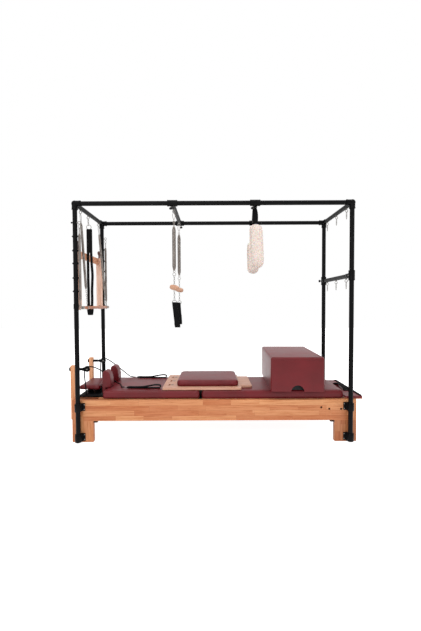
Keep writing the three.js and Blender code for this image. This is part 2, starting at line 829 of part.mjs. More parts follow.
// Safety strap, in a frame on the ring of its eyebolt
function safetyStrap() {
  const origin = underTube(canopyHeight) - shankLength - eyeRadius;
  const x = safetyShift;
  const half = safetyWidth / 2;
  const pad = safetyPadWidth / 2;
  const at = (z) => z - origin;
  const outline = polygon([
    [x - half, at(safetyTop)],
    [x - half, at(safetyPadTop)],
    [x - pad, at(safetyPadTop - safetyPadEase)],
    [x - pad + safetyPadTaper, at(safetyBottom)],
    [x + pad - safetyPadTaper, at(safetyBottom)],
    [x + pad, at(safetyPadTop - safetyPadEase)],
    [x + half, at(safetyPadTop)],
    [x + half, at(safetyTop)],
  ]);
  const slitX = [x - safetySlit / 2, x + safetySlit / 2];
  const slit = boxFrom(slitX, [-safetyThickness, safetyThickness], [at(safetySlitBottom), at(safetySlitTop)]);
  const strap = cut(extrudeY(outline, safetyThickness), [slit]);
  const ringZ = at(safetyTop) + safetyRing;
  const chain = rod(chainRadius, -eyeRadius - eyeWire - gap, ringZ, "z", 8);
  return join([strap, shifted(ring(safetyRing, strapRingWire, "y"), x / 2, 0, ringZ), chain]);
}

// Roll-down bar, in a frame at its middle
function rollDownBar() {
  const half = rollBarLength / 2;
  const pieces = [rod(rollBarRadius, -half, half, "y", 10)];
  for (const y of [endEyeY[0], endEyeY[2]])
    pieces.push(shifted(rod(rollCollarRadius, -rollCollarWidth / 2, rollCollarWidth / 2, "y", 10), 0, y, 0));
  return join(pieces);
}

// Risers and pulleys
function riser() {
  const shape = roundedRectangle(riserThickness, riserTop - riserFoot, riserCorner);
  const body = extrudeY(shape, riserWidth, 2).translate(0, 0, (riserTop + riserFoot) / 2);
  const hole = rod(blockStemRadius + slideGap, -riserThickness, riserThickness, "x", 10);
  return cut(body, [shifted(hole, 0, 0, pulleyZ)]);
}

// Pulley block with its stem through the riser and its knob outside, in a frame on the sheave's axle
function pulleyBlock() {
  const riserFace = riserX + riserThickness / 2 - pulleyX;
  const riserBack = riserX - riserThickness / 2 - pulleyX;
  const bridge = -sheaveRadius - 2 * ropeRadius - blockBridge;
  const cheek = new THREE.Shape();
  cheek.moveTo(bridge, -cheekNeck);
  cheek.lineTo(0, -cheekRadius);
  cheek.absarc(0, 0, cheekRadius, -Math.PI / 2, Math.PI / 2);
  cheek.lineTo(bridge, cheekNeck);
  cheek.closePath();
  const cheekY = (cheekGap + cheekThickness) / 2;
  const knobFace = riserBack - gap;
  return join([
    shifted(extrudeY(cheek, cheekThickness, 4), 0, -cheekY, 0),
    shifted(extrudeY(cheek, cheekThickness, 4), 0, cheekY, 0),
    boxFrom([bridge, bridge + blockBridge], [-cheekY, cheekY], [-cheekNeck, cheekNeck]),
    rod(sheaveAxle, -cheekY, cheekY, "y", 8),
    rod(blockStemRadius, knobFace - overrun, bridge + overrun, "x", 8),
    rod(2 * blockStemRadius, riserFace + gap, bridge + blockBridge / 2, "x", 8),
    rod(knobRadius, knobFace - knobHeight, knobFace, "x", 8),
  ]);
}

function sheave() {
  const half = sheaveWidth / 2;
  const profile = [
    [sheaveBore, -half],
    [sheaveRadius, -half],
    [sheaveGroove, -ropeRadius / 2],
    [sheaveGroove, ropeRadius / 2],
    [sheaveRadius, half],
    [sheaveBore, half],
    [sheaveBore, -half],
  ].map(([r, t]) => new THREE.Vector2(r, t));
  return new THREE.LatheGeometry(profile, 12);
}

// Carriage
function carriageBoard() {
  const boardZ = [carriageMatFoot - gap - carriageBoardThickness, carriageMatFoot - gap];
  const halfBoard = carriageBoardWidth / 2;
  const pieces = [boxFrom(carriageBoardX, [-halfBoard, halfBoard], boardZ)];
  const halfHead = headBoardWidth / 2;
  pieces.push(boxFrom(headBoardX, [-halfHead, halfHead], [carriageMatFoot - gap, headBoardTop]));
  const bores = [];
  const axleZ = ledgeTop + wheelRadius + gap;
  const [blockX, blockY] = hangerBlock;
  for (const x of wheelX)
    for (const direction of [-1, 1]) {
      const blockZ = [axleZ - 2 * axleRadius, boardZ[0] + overrun];
      const block = box(blockX, blockY, lengthOf(blockZ));
      pieces.push(shifted(block, x, direction * hangerBlockY, middleOf(blockZ)));
      const bore = rod(axleRadius + axleClear, -blockY, blockY, "y", 8);
      bores.push(shifted(bore, x, direction * hangerBlockY, axleZ));
    }
  for (const direction of [-1, 1]) {
    const prop = box(...propSize, headrestFoot - headBoardTop - gap + overrun);
    const propZ = (headrestFoot - gap + headBoardTop - overrun) / 2;
    pieces.push(shifted(prop, propX, direction * propY, propZ));
    const cleat = rod(cleatPostRadius, headBoardTop - overrun, headBoardTop + cleatPostHeight, "z", 8);
    pieces.push(shifted(cleat, cleatPostX, direction * cleatPostY, 0));
    const pegFloor = headBoardTop - restPegDepth - restPegClear;
    const pegHole = rod(restPeg + slideGap, headBoardTop + overrun, pegFloor, "z", 8);
    bores.push(shifted(pegHole, restPegX, (direction * restSpacing) / 2, 0));
  }
  return cut(join(pieces), bores);
}

function wheelset() {
  const outer = wheelY + wheelWidth / 2;
  const pieces = [rod(axleRadius, -outer, outer, "y", 8)];
  for (const direction of [-1, 1]) {
    const wheel = rod(wheelRadius, -wheelWidth / 2, wheelWidth / 2, "y", 14);
    pieces.push(shifted(wheel, 0, direction * wheelY, 0));
  }
  return join(pieces);
}

// A D-shaped shoulder rest: upright towards the head, curved towards the foot, stepped to clear the mat
const restPegX = (restX[0] + carriageMatX[0]) / 2;
function shoulderRest() {
  const [back, front] = restX;
  const matEdge = carriageMatX[0] - 2 * gap;
  const low = headBoardTop + gap;
  const step = matTop + gap;
  const shape = new THREE.Shape();
  shape.moveTo(back, low);
  shape.lineTo(matEdge, low);
  shape.lineTo(matEdge, step);
  shape.lineTo(front - restNoseTuck, step);
  const crest = middleOf(restX) + restCrest;
  shape.bezierCurveTo(front + restBulge, step + restBellyRise, front - restShoulder, restTop, crest, restTop);
  const [easeTop, easeFoot] = restBackEase.map((drop) => restTop - drop);
  shape.bezierCurveTo(back + restShoulder, restTop, back, easeTop, back, easeFoot);
  shape.closePath();
  const body = extrudeY(shape, restThickness, 6, restBevel / 4);
  const peg = rod(restPeg, low + overrun, low - restPegDepth, "z", 6);
  return join([body, shifted(peg, restPegX, 0, 0)]);
}

// Jump board: a board with a narrower tab at its foot end and three slots at its head end
function jumpBoard() {
  const [x0, x1] = jumpBoardX;
  const [half, tab] = [jumpBoardWidth / 2, jumpTabWidth / 2];
  const r = jumpBoardCorner;
  const shape = new THREE.Shape();
  shape.moveTo(x0 + r, -half);
  shape.lineTo(x1 - r, -half);
  shape.quadraticCurveTo(x1, -half, x1, r - half);
  shape.lineTo(x1, -tab);
  shape.lineTo(x1 + jumpTabReach - r, -tab);
  shape.quadraticCurveTo(x1 + jumpTabReach, -tab, x1 + jumpTabReach, r - tab);
  shape.lineTo(x1 + jumpTabReach, tab - r);
  shape.quadraticCurveTo(x1 + jumpTabReach, tab, x1 + jumpTabReach - r, tab);
  shape.lineTo(x1, tab);
  shape.lineTo(x1, half - r);
  shape.quadraticCurveTo(x1, half, x1 - r, half);
  shape.lineTo(x0 + r, half);
  shape.quadraticCurveTo(x0, half, x0, half - r);
  shape.lineTo(x0, r - half);
  shape.quadraticCurveTo(x0, -half, x0 + r, -half);
  for (const y of jumpSlotY) {
    const slot = roundedRectangle(...jumpSlot, jumpSlot[0] / 2 - roundFlat).getPoints(2);
    shape.holes.push(new THREE.Path(slot.map((p) => new THREE.Vector2(p.x + jumpSlotX, p.y + y))));
  }
  return extrudeZ(shape, jumpBoardThickness, 2);
}

function sittingBox() {
  const body = cushion(lengthOf(boxX), lengthOf(boxY), boxHeight, boxCorner, matCrown, matTuck);
  const notches = [-1, 1].map((end) => {
    const face = (end * lengthOf(boxY)) / 2;
    return rod(notchRadius, face - end * notchDepth, face + end * overrun, "y", 20);
  });
  return cut(body, notches);
}

function footStrap() {
  const outer = new THREE.Shape();
  const half = archSpan / 2;
  outer.moveTo(-half, 0);
  const pull = archRise * archPullShare;
  const innerPull = pull - archBand * archBandShare;
  outer.bezierCurveTo(-half / 2, pull, half / 2, pull, half, 0);
  outer.lineTo(half - 2 * archBand, 0);
  outer.bezierCurveTo(half / 2, innerPull, -half / 2, innerPull, 2 * archBand - half, 0);
  outer.closePath();
  const [stripWidth, stripHeight] = edgeStrip;
  const stripEnd = platformX[1] - archX - stripSetBack;
  const stripX = [stripEnd - stripWidth, stripEnd];
  const halfStrip = platformWidth / 2 - platformCorner;
  const pieces = [extrudeX(outer, archWidth, 10)];
  pieces.push(boxFrom(stripX, [-halfStrip, halfStrip], [0, stripHeight]));
  for (const end of [-1, 1]) {
    const footY = [end * (half - archFoot), end * half].sort((a, b) => a - b);
    pieces.push(boxFrom([-archWidth / 2, stripX[0] + overrun], footY, [0, stripHeight]));
  }
  return join(pieces);
}

// Ropes: hand-placed points from the cleat on the carriage, over the sheave, to the clip of the handle loop
const ropeRest = matTop + ropeRadius + gap;
const ropeRun = sheaveGroove + ropeRadius + ropeRide;
const ropeBackX = pulleyX - ropeRun;
const ropeFoot = headBoardTop + cleatPostHeight + gap;
const ropeEndX = loopX[0] - clipLength - gap;
const ropeEndZ = matTop + gap + clipHeight;
const frontRope = [
  [cleatPostX, -cleatPostY, ropeFoot],
  [-1125, -213, 420],
  [-1127, -222, 480],
  [-1129, -234, 560],
  [ropeBackX, -riserY, pulleyZ],
  [-1120, -riserY, 623.5],
  [pulleyX, -riserY, pulleyZ + ropeRun],
  [-1086, -237, 628],
  [-1060, -205, 618],
  [-1030, -140, 586],
  [-1006, -86, 550],
  [-975, -46, 510],
  [-935, -25, 466],
  [-900, -18, ropeRest + 4],
  [-868, -46, ropeRest],
  [-842, -110, ropeRest],
  [-822, -170, ropeRest + 2],
  [-806, -206, ropeEndZ],
  [ropeEndX - 8, loopFrontY, ropeEndZ],
  [ropeEndX, loopFrontY, ropeEndZ],
];
const rearRope = [
  [cleatPostX, cleatPostY, ropeFoot],
  [-1125, 213, 420],
  [-1128, 222, 480],
  [-1130, 234, 560],
  [ropeBackX, riserY, pulleyZ],
  [-1120, riserY, 623.5],
  [pulleyX, riserY, pulleyZ + ropeRun],
  [-1085, 239, 628],
  [-1040, 247, 604],
  [-990, 252, 566],
  [-930, 252, 518],
  [-880, 248, 478],
  [-836, 240, ropeRest + 14],
  [-808, 236.5, ropeEndZ + 1],
  [ropeEndX - 8, loopRearY, ropeEndZ],
  [ropeEndX, loopRearY, ropeEndZ],
];

function rope(points, steps) {
  const path = new THREE.CatmullRomCurve3(points.map((p) => new THREE.Vector3(...p)), false, "centripetal");
  const section = polygon(
    Array.from({ length: ropeSides }, (_, k) => {
      const angle = (k / ropeSides) * 2 * Math.PI;
      return [ropeRadius * Math.cos(angle), ropeRadius * Math.sin(angle)];
    }),
  );
  return new THREE.ExtrudeGeometry(section, { steps, extrudePath: path, bevelEnabled: false });
}

// A handle loop of webbing that stands on its edge: narrow at the clip, wide where the hand goes
function handleLoop() {
  const length = lengthOf(loopX);
  const outline = (band) => {
    const [neck, belly] = [loopNeck / 2 - band / 2, loopWidth / 2 - band];
    const shape = new THREE.Shape();
    shape.moveTo(band, -neck);
    shape.bezierCurveTo(length / 3, -neck, length / 2, -belly, length - loopWidth / 2, -belly);
    shape.absarc(length - loopWidth / 2, 0, belly, -Math.PI / 2, Math.PI / 2);
    shape.bezierCurveTo(length / 2, belly, length / 3, neck, band, neck);
    shape.closePath();
    return shape;
  };
  const outer = outline(0);
  const inner = outline(loopBand);
  const clip = rod(clipRadius, -clipLength, loopBand, "x", 8);
  const band = join([extrudeZ(outer, loopHeight, 4), shifted(clip, 0, 0, clipHeight)]);
  return cut(band, [shifted(extrudeZ(inner, 2 * loopHeight, 4), 0, 0, -loopHeight / 2)]);
}

// Assembly
const table = new THREE.Group();

function place(parent, name, geometry, material, x = 0, y = 0, z = 0) {
  const mesh = new THREE.Mesh(geometry, material);
  mesh.name = name;
  mesh.position.set(x, y, z);
  parent.add(mesh);
  return mesh;
}

const ends = [
  ["front", -1],
  ["rear", 1],
];

for (const [side, direction] of ends) {
  place(table, `side_frame_${side}`, sideFrame(direction), wood);
  place(table, `top_rail_${side}`, topRail(-direction), blackMetal, 0, direction * postY, canopyHeight);
  place(table, `post_head_${side}`, post(1, -direction, true), blackMetal, -postX, direction * postY);
  place(table, `post_foot_${side}`, post(-1, -direction, false), blackMetal, postX, direction * postY);
}

// Base
const footBoardX = [baseEnd - endThickness, baseEnd];
place(table, "end_board_head", headEndBoard(), wood);
place(table, "end_board_foot", boxFrom(footBoardX, [-endBoardY, endBoardY], [railBottom, railTop]), wood);
const springBarZ = ledgeTop - ledgeThickness - gap - springBarSize[1] / 2;
place(table, "spring_bar", springBar(), steel, springBarX, 0, springBarZ);
const platformCrown = matCrown / 3;
const platformSize = [lengthOf(platformX), platformWidth, platformHeight];
const platform = cushion(...platformSize, platformCorner, platformCrown, matTuck);
place(table, "foot_platform", platform, vinyl, middleOf(platformX), 0, railTop + gap);
place(table, "foot_strap", footStrap(), webbingBlack, archX, 0, railTop + platformHeight + 2 * gap);
place(table, "crossbar_head", headCrossbar(), blackMetal, -postX, 0, canopyHeight);
place(table, "crossbar_foot", footCrossbar(), blackMetal, postX, 0, canopyHeight);

// Left sliding crossbar with its springs, grips and ankle straps
const leftEyes = [-hangerY, hangerY].flatMap((y) => eyeUnder(0, y, -tubeRadius));
const leftHoles = ends.map(([, d]) => shifted(knobHole(), d * leftKnobShift, d * postY, 0));
const leftBar = slidingBar(0, 0, "x", leftEyes, leftHoles);
place(table, "crossbar_left", leftBar, blackMetal, leftBarX, 0, canopyHeight);
for (const [side, direction] of ends) {
  const y = direction * hangerY;
  const knobX = leftBarX + direction * leftKnobShift;
  place(table, `knob_left_${side}`, knob(), blackPlastic, knobX, direction * postY, canopyHeight);
  const top = eyeFoot(canopyHeight) - gap;
  const name = `centre_spring_${side}`;
  const geometry = spring(
    name,
    [0, 0, 0],
    [0, 0, centreSpringEnd - top],
    top - centreCoilTop,
    centreCoilBottom - centreSpringEnd,
    centreCoilRadius,
    centreTurns,
  );
  place(table, name, geometry, steel, leftBarX, y, top);
  place(table, `grip_${side}`, grip(), paleWood, leftBarX, y, gripZ);
  place(table, `ankle_strap_${side}`, ankleStrap(), webbingBlack, leftBarX, y, 0);
}

// Right sliding crossbar, set askew, with its fleece loops
const rightMiddle = (rightBarFrontX + rightBarRearX) / 2;
const rightSkew = Math.atan2(rightBarFrontX - rightBarRearX, 2 * postY);
const rightShifts = [rightBarFrontX - rightMiddle, rightBarRearX - rightMiddle];
const rightHoles = ends.map(([, d], i) => shifted(knobHole(), rightShifts[i] - rightKnobShift, d * postY, 0));
const rightBar = slidingBar(...rightShifts, "x", [], rightHoles);
place(table, "crossbar_right", rightBar, blackMetal, rightMiddle, 0, canopyHeight);
for (const [i, [side, direction]] of ends.entries()) {
  const knobX = rightMiddle + rightShifts[i] - rightKnobShift;
  place(table, `knob_right_${side}`, knob(), blackPlastic, knobX, direction * postY, canopyHeight);
  const y = direction * fleeceY;
  const x = rightMiddle - y * Math.tan(rightSkew);
  const loop = place(table, `fleece_loop_${side}`, fleeceLoop(), fleece, x, y, canopyHeight);
  loop.rotation.z = rightSkew;
}

// Crossbar that slides up and down the foot posts
const midEyes = midEyeY.flatMap((y) => eyeUnder(0, y, -tubeRadius));
const midHooks = midEyeY.map((y) => snapHook(0, y, -tubeRadius - eyeDrop + eyeWire));
const sideways = (geometry) => geometry.rotateY(Math.PI / 2);
const midHoles = ends.map(([, d]) => shifted(sideways(knobHole()), 0, d * postY, 0));
const midBar = slidingBar(0, 0, "z", [...midEyes, ...midHooks], midHoles);
place(table, "crossbar_mid", midBar, blackMetal, postX, 0, midBarZ);
for (const [side, direction] of ends)
  place(table, `knob_mid_${side}`, sideways(knob()), blackPlastic, postX, direction * postY, midBarZ);

// Head end: push-through bar, safety strap, roll-down bar and springs
place(table, "push_through_bar", pushThroughBar(), paleWood, pivotX, 0, pivotZ);
const headEyeZ = underTube(canopyHeight) - shankLength - eyeRadius;
place(table, "safety_strap", safetyStrap(), webbingBlack, -postX, endEyeY[1], headEyeZ);
const roll = place(table, "roll_down_bar", rollDownBar(), paleWood, rollBarX, 0, rollBarZ);
roll.rotation.z = THREE.MathUtils.degToRad(-rollBarYaw);
for (const [i, side] of ["front", "rear"].entries()) {
  const eyeY = endEyeY[2 * i];
  const top = eyeFoot(canopyHeight) - gap;
  const barX = rollBarX + eyeY * Math.tan(THREE.MathUtils.degToRad(rollBarYaw));
  const foot = rollBarZ + rollCollarRadius + gap;
  const drop = [barX + postX, 0, foot - top];
  const slant = spring(`slant_spring_${side}`, [0, 0, 0], drop, top - slantCoilTop, slantCoilBottom - foot,
    sideCoilRadius, slantTurns);
  place(table, `slant_spring_${side}`, slant, steel, -postX, eyeY, top);
  const postTop = postEyeZ - eyeRadius - eyeWire - gap;
  const straight = spring(`post_spring_${side}`, [0, 0, 0], [0, 0, straightEnd - postTop],
    postTop - straightCoilTop, straightCoilBottom - straightEnd, sideCoilRadius, straightTurns);
  const springY = (2 * i - 1) * postY;
  place(table, `post_spring_${side}`, straight, steel, postEyeOffset - postX, springY, postTop);
}

// Risers, pulleys and ropes
for (const [side, direction] of ends) {
  const y = direction * riserY;
  place(table, `riser_${side}`, riser(), wood, riserX, y, 0);
  place(table, `pulley_block_${side}`, pulleyBlock(), blackMetal, pulleyX, y, pulleyZ);
  place(table, `pulley_sheave_${side}`, sheave(), blackPlastic, pulleyX, y, pulleyZ);
}
place(table, "rope_front", rope(frontRope, ropeSteps[0]), webbingBlack);
place(table, "rope_rear", rope(rearRope, ropeSteps[1]), webbingBlack);
place(table, "rope_handle_front", handleLoop(), webbingBlack, loopX[0], loopFrontY, matTop + gap);
place(table, "rope_handle_rear", handleLoop(), webbingBlack, loopX[0], loopRearY, matTop + gap);

// Carriage with its headrest and shoulder rests
const matHeight = matTop - carriageMatFoot;
const carriageMat = cushion(lengthOf(carriageMatX), matWidth, matHeight, matCorner, matCrown, matTuck);
place(table, "carriage_board", carriageBoard(), wood);
place(table, "carriage_mat", carriageMat, vinyl, middleOf(carriageMatX), 0, carriageMatFoot);
const fullCrown = 2 * matCrown;
const headrest = cushion(headrestLength, headrestWidth, headrestHeight, matCorner, fullCrown, matTuck);
place(table, "headrest", headrest, vinyl, middleOf(headrestX), 0, headrestFoot);
for (const [side, direction] of ends)
  place(table, `shoulder_rest_${side}`, shoulderRest(), vinyl, 0, (direction * restSpacing) / 2, 0);
for (const [i, end] of ["head", "foot"].entries())
  place(table, `wheelset_${end}`, wheelset(), blackPlastic, wheelX[i], 0, ledgeTop + wheelRadius + gap);

// Insert mat, jump board and sitting box
const insertHeight = matTop - railTop - gap;
const insertMat = cushion(lengthOf(insertMatX), matWidth, insertHeight, matCorner, matCrown, matTuck);
place(table, "insert_mat", insertMat, vinyl, middleOf(insertMatX), 0, railTop + gap);
place(table, "jump_board", jumpBoard(), paleWood, 0, 0, matTop + gap);
const padLength = lengthOf(jumpPadX);
const jumpPad = cushion(padLength, jumpPadWidth, jumpPadHeight, jumpPadCorner, fullCrown, matTuck);
place(table, "jump_pad", jumpPad, vinyl, middleOf(jumpPadX), 0, matTop + jumpBoardThickness + 2 * gap);
place(table, "sitting_box", sittingBox(), vinyl, middleOf(boxX), middleOf(boxY), matTop + gap);

for (const [name, least] of Object.entries(springGaps))
  console.log(`${name}: least gap between its turns ${least.toFixed(2)} mm`);

// The origin is at the middle of the part's footprint, on the floor, without the ropes and handle loops.
const part = new THREE.Group();
part.add(table);
const bounds = new THREE.Box3();
for (const mesh of table.children) if (!mesh.name.startsWith("rope_")) bounds.expandByObject(mesh, true);
const centre = bounds.getCenter(new THREE.Vector3());
table.position.set(-centre.x, -centre.y, -bounds.min.z);
console.log(`origin moved by ${centre.x.toFixed(3)}, ${centre.y.toFixed(3)}, ${bounds.min.z.toFixed(3)} mm`);

export default part;
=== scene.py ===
from math import cos, pi, radians, sin, tau

import bmesh
import bpy
from mathutils import Matrix, Vector, noise


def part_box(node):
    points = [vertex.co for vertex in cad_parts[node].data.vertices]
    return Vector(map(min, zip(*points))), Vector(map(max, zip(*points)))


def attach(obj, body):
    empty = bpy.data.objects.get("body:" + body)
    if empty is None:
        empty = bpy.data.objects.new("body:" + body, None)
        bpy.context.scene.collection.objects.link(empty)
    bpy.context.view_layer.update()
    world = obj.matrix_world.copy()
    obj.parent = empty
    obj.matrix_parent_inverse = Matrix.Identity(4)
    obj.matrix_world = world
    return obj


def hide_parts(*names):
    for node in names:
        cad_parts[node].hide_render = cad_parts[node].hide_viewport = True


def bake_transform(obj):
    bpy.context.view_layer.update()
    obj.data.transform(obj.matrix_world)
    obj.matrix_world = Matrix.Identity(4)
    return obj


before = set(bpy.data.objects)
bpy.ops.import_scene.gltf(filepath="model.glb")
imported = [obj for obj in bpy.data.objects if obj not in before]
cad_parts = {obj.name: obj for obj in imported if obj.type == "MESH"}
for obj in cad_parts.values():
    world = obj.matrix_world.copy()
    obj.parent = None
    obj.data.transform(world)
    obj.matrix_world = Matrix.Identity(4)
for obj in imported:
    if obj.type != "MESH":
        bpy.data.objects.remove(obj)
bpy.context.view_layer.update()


# Side frames and end boards of the base.
# Panels glued up from finger-jointed hardwood staves under satin lacquer, with routed edges. A black bracket
# braces each inside corner, and the sockets of the spring bar's bolts show near the foot end.
mm = 0.001


def in_mm(points):
    return [tuple(value * mm for value in point) for point in points]


def colour(code):
    """A swatch's colour as the linear values that a shader takes."""
    parts = [int(code[i : i + 2], 16) / 255 for i in (1, 3, 5)]
    return [part / 12.92 if part <= 0.04045 else ((part + 0.055) / 1.055) ** 2.4 for part in parts] + [1.0]


def put(tree, kind, inputs=None, **settings):
    """Adds a shader node with its settings, and sets or links its inputs."""
    made = tree.nodes.new("ShaderNode" + kind)
    for key, value in settings.items():
        setattr(made, key, value)
    for key, value in (inputs or {}).items():
        if isinstance(value, bpy.types.NodeSocket):
            tree.links.new(value, made.inputs[key])
        else:
            made.inputs[key].default_value = value
    return made


def reckon(tree, operation, *values):
    return put(tree, "Math", dict(enumerate(values)), operation=operation).outputs[0]


def mixed(tree, share, first, second):
    return put(tree, "Mix", {0: share, 6: first, 7: second}, data_type="RGBA").outputs[2]


def stretched(tree, place, scales):
    return put(tree, "VectorMath", {0: place, 1: scales}, operation="MULTIPLY").outputs[0]


def mottle(tree, place, scale, detail=4.0, roughness=0.55):
    cloud = {"Vector": place, "Scale": scale, "Detail": detail, "Roughness": roughness}
    return put(tree, "TexNoise", cloud).outputs[0]


def eased_share(tree, value, low, high):
    """Nought below the low value, one above the high one, and a smooth rise between them."""
    return put(tree, "MapRange", {0: value, 1: low, 2: high}, interpolation_type="SMOOTHSTEP").outputs[0]


def new_finish(name, roughness, metallic=0.0, specular=0.5):
    """A material with its tree and shader, and the object's own coordinates for its pattern."""
    material = bpy.data.materials.new(name)
    material.use_nodes = True
    shader = material.node_tree.nodes["Principled BSDF"]
    shader.inputs["Roughness"].default_value = roughness
    shader.inputs["Metallic"].default_value = metallic
    shader.inputs["Specular IOR Level"].default_value = specular
    place = put(material.node_tree, "TexCoord").outputs["Object"]
    return material, material.node_tree, shader, place


def tinted(tree, shader, share, dark, light):
    tree.links.new(mixed(tree, share, colour(dark), colour(light)), shader.inputs["Base Color"])


def roughened(tree, shader, share, span, least):
    tree.links.new(reckon(tree, "MULTIPLY_ADD", share, span, least), shader.inputs["Roughness"])


def raised(tree, shader, height, distance, strength=1.0):
    bump = put(tree, "Bump", {"Strength": strength, "Distance": distance, "Height": height})
    tree.links.new(bump.outputs[0], shader.inputs["Normal"])


def effect(name, takes, gives):
    """A shared effect: a node group with its named inputs and outputs."""
    group = bpy.data.node_groups.new(name, "ShaderNodeTree")
    for socket, value in takes.items():
        kind = "NodeSocketVector" if value is None else "NodeSocketFloat"
        made = group.interface.new_socket(socket, in_out="INPUT", socket_type=kind)
        if value is not None:
            made.default_value = value
    for socket in gives:
        group.interface.new_socket(socket, in_out="OUTPUT", socket_type="NodeSocketFloat")
    return group, group.nodes.new("NodeGroupInput"), group.nodes.new("NodeGroupOutput")


timber, taken, given = effect(
    "timber", {"Vector": None, "Stave length": 0.42, "Stave width": 0.044}, ["Stave", "Grain", "Joint"]
)
axes = put(timber, "SeparateXYZ", {0: taken.outputs["Vector"]})
rows = reckon(timber, "DIVIDE", axes.outputs["Z"], taken.outputs["Stave width"])
row = reckon(timber, "FLOOR", rows)
layer = reckon(timber, "FLOOR", reckon(timber, "DIVIDE", axes.outputs["Y"], 0.06))
row_seed = put(timber, "CombineXYZ", {0: row, 1: layer, 2: 3.7}).outputs[0]
row_start = put(timber, "TexWhiteNoise", {"Vector": row_seed}).outputs["Value"]
even_run = reckon(timber, "DIVIDE", axes.outputs["X"], taken.outputs["Stave length"])
run = reckon(timber, "ADD", even_run, reckon(timber, "MULTIPLY", row_start, 9.0))
wave = reckon(timber, "MULTIPLY", reckon(timber, "SINE", reckon(timber, "MULTIPLY", run, 2.1)), 0.3)
uneven = reckon(timber, "ADD", run, wave)
stave = reckon(timber, "FLOOR", uneven)
stave_seed = put(timber, "CombineXYZ", {0: stave, 1: row, 2: layer}).outputs[0]
tone = put(timber, "TexWhiteNoise", {"Vector": stave_seed})
shift = put(timber, "VectorMath", {0: taken.outputs["Vector"], 1: tone.outputs["Color"]}, operation="ADD")
long_grain = mottle(timber, stretched(timber, shift.outputs[0], (5, 95, 95)), 1.0, 4.0, 0.55)
pores = mottle(timber, stretched(timber, shift.outputs[0], (40, 1500, 1500)), 1.0, 2.0)
long_share = reckon(timber, "MULTIPLY", long_grain, 0.7)
streaks = reckon(timber, "ADD", long_share, reckon(timber, "MULTIPLY", pores, 0.3))


def to_seam(part, stave_side):
    """How far a spot lies from the nearer end or the nearer side of its stave."""
    folded_part = reckon(timber, "PINGPONG", reckon(timber, "WRAP", part, 0.0, 1.0), 0.5)
    return reckon(timber, "MULTIPLY", folded_part, taken.outputs[stave_side])


seam = reckon(timber, "MINIMUM", to_seam(uneven, "Stave length"), to_seam(rows, "Stave width"))
timber.links.new(tone.outputs["Value"], given.inputs["Stave"])
timber.links.new(streaks, given.inputs["Grain"])
joint_line = reckon(timber, "SUBTRACT", 1.0, eased_share(timber, seam, 0.15 * mm, 1.1 * mm))
timber.links.new(joint_line, given.inputs["Joint"])


def timber_finish(name, pale, deep, turn=(0, 0, 0), stave=(0.42, 0.044), contrast=1.0, upright=None):
    """Lacquered staves with the grain along X, turned for other boards, and on end where it is upright."""
    material, tree, shader, place = new_finish(name, 0.42, specular=0.35)
    grain_way = put(tree, "Mapping", {"Vector": place, "Rotation": turn}).outputs[0]
    if upright:
        foot, end = upright
        at = put(tree, "SeparateXYZ", {0: place})
        in_leg = reckon(tree, "LESS_THAN", at.outputs["Z"], foot)
        at_end = reckon(tree, "GREATER_THAN", reckon(tree, "ABSOLUTE", at.outputs["X"]), end)
        standing = put(tree, "Mapping", {"Vector": place, "Rotation": (0, radians(90), 0)}).outputs[0]
        both = {0: reckon(tree, "MAXIMUM", in_leg, at_end), 4: grain_way, 5: standing}
        grain_way = put(tree, "Mix", both, data_type="VECTOR").outputs[1]
    glued = {"Vector": grain_way, "Stave length": stave[0], "Stave width": stave[1]}
    group = put(tree, "Group", glued, node_tree=timber)
    stave_share = reckon(tree, "MULTIPLY_ADD", group.outputs["Stave"], contrast, 0.5 - contrast / 2)
    board = mixed(tree, stave_share, colour(deep), colour(pale))
    rosy_share = reckon(tree, "MULTIPLY", eased_share(tree, mottle(tree, place, 3.0), 0.35, 0.7), 0.3)
    rosy = mixed(tree, rosy_share, board, colour("#cf8a60"))
    if upright:
        # Painted shade: the leg at the foot end is darkened halfway towards a deep brown.
        shaded_foot_leg = reckon(tree, "MULTIPLY", in_leg, reckon(tree, "GREATER_THAN", at.outputs["X"], 0.0))
        rosy = mixed(tree, reckon(tree, "MULTIPLY", shaded_foot_leg, 0.5), rosy, colour("#96532f"))
    dark_grain = mixed(tree, 1.0, rosy, colour("#dcc0a8"))
    tree.nodes[-1].blend_type = "MULTIPLY"
    streaky = mixed(tree, eased_share(tree, group.outputs["Grain"], 0.42, 0.7), rosy, dark_grain)
    lined = mixed(tree, reckon(tree, "MULTIPLY", group.outputs["Joint"], 0.45), streaky, colour("#7a4429"))
    tree.links.new(lined, shader.inputs["Base Color"])
    roughened(tree, shader, group.outputs["Grain"], 0.16, 0.34)
    ridges = reckon(tree, "SUBTRACT", group.outputs["Grain"], group.outputs["Joint"])
    raised(tree, shader, ridges, 0.12 * mm)
    return material


def set_in(shape, part, place=None, material=None):
    """Puts a finished form into the shape that it belongs to."""
    bmesh.ops.transform(part, matrix=place or Matrix(), verts=part.verts)
    if material is not None:
        for face in part.faces:
            face.material_index = material
    bmesh.ops.recalc_face_normals(part, faces=part.faces)
    mesh = bpy.data.meshes.new("form")
    part.to_mesh(mesh)
    part.free()
    shape.from_mesh(mesh)
    bpy.data.meshes.remove(mesh)


def bevelled(part, edges, radius, segments):
    rounding = {"offset_type": "OFFSET", "profile": 0.5, "affect": "EDGES", "material": -1}
    bmesh.ops.bevel(part, geom=edges, offset=radius, segments=segments, clamp_overlap=True, **rounding)


def round_over(part, radius, segments=3):
    sharp = [e for e in part.edges if e.is_manifold and e.calc_face_angle() > radians(30)]
    bevelled(part, sharp, radius, segments)


def spun(part, outline, steps):
    """Spins an outline once round Z and joins its ends."""
    about_z = {"cent": (0, 0, 0), "axis": (0, 0, 1), "angle": tau}
    bmesh.ops.spin(part, geom=outline, steps=steps, use_merge=True, **about_z)


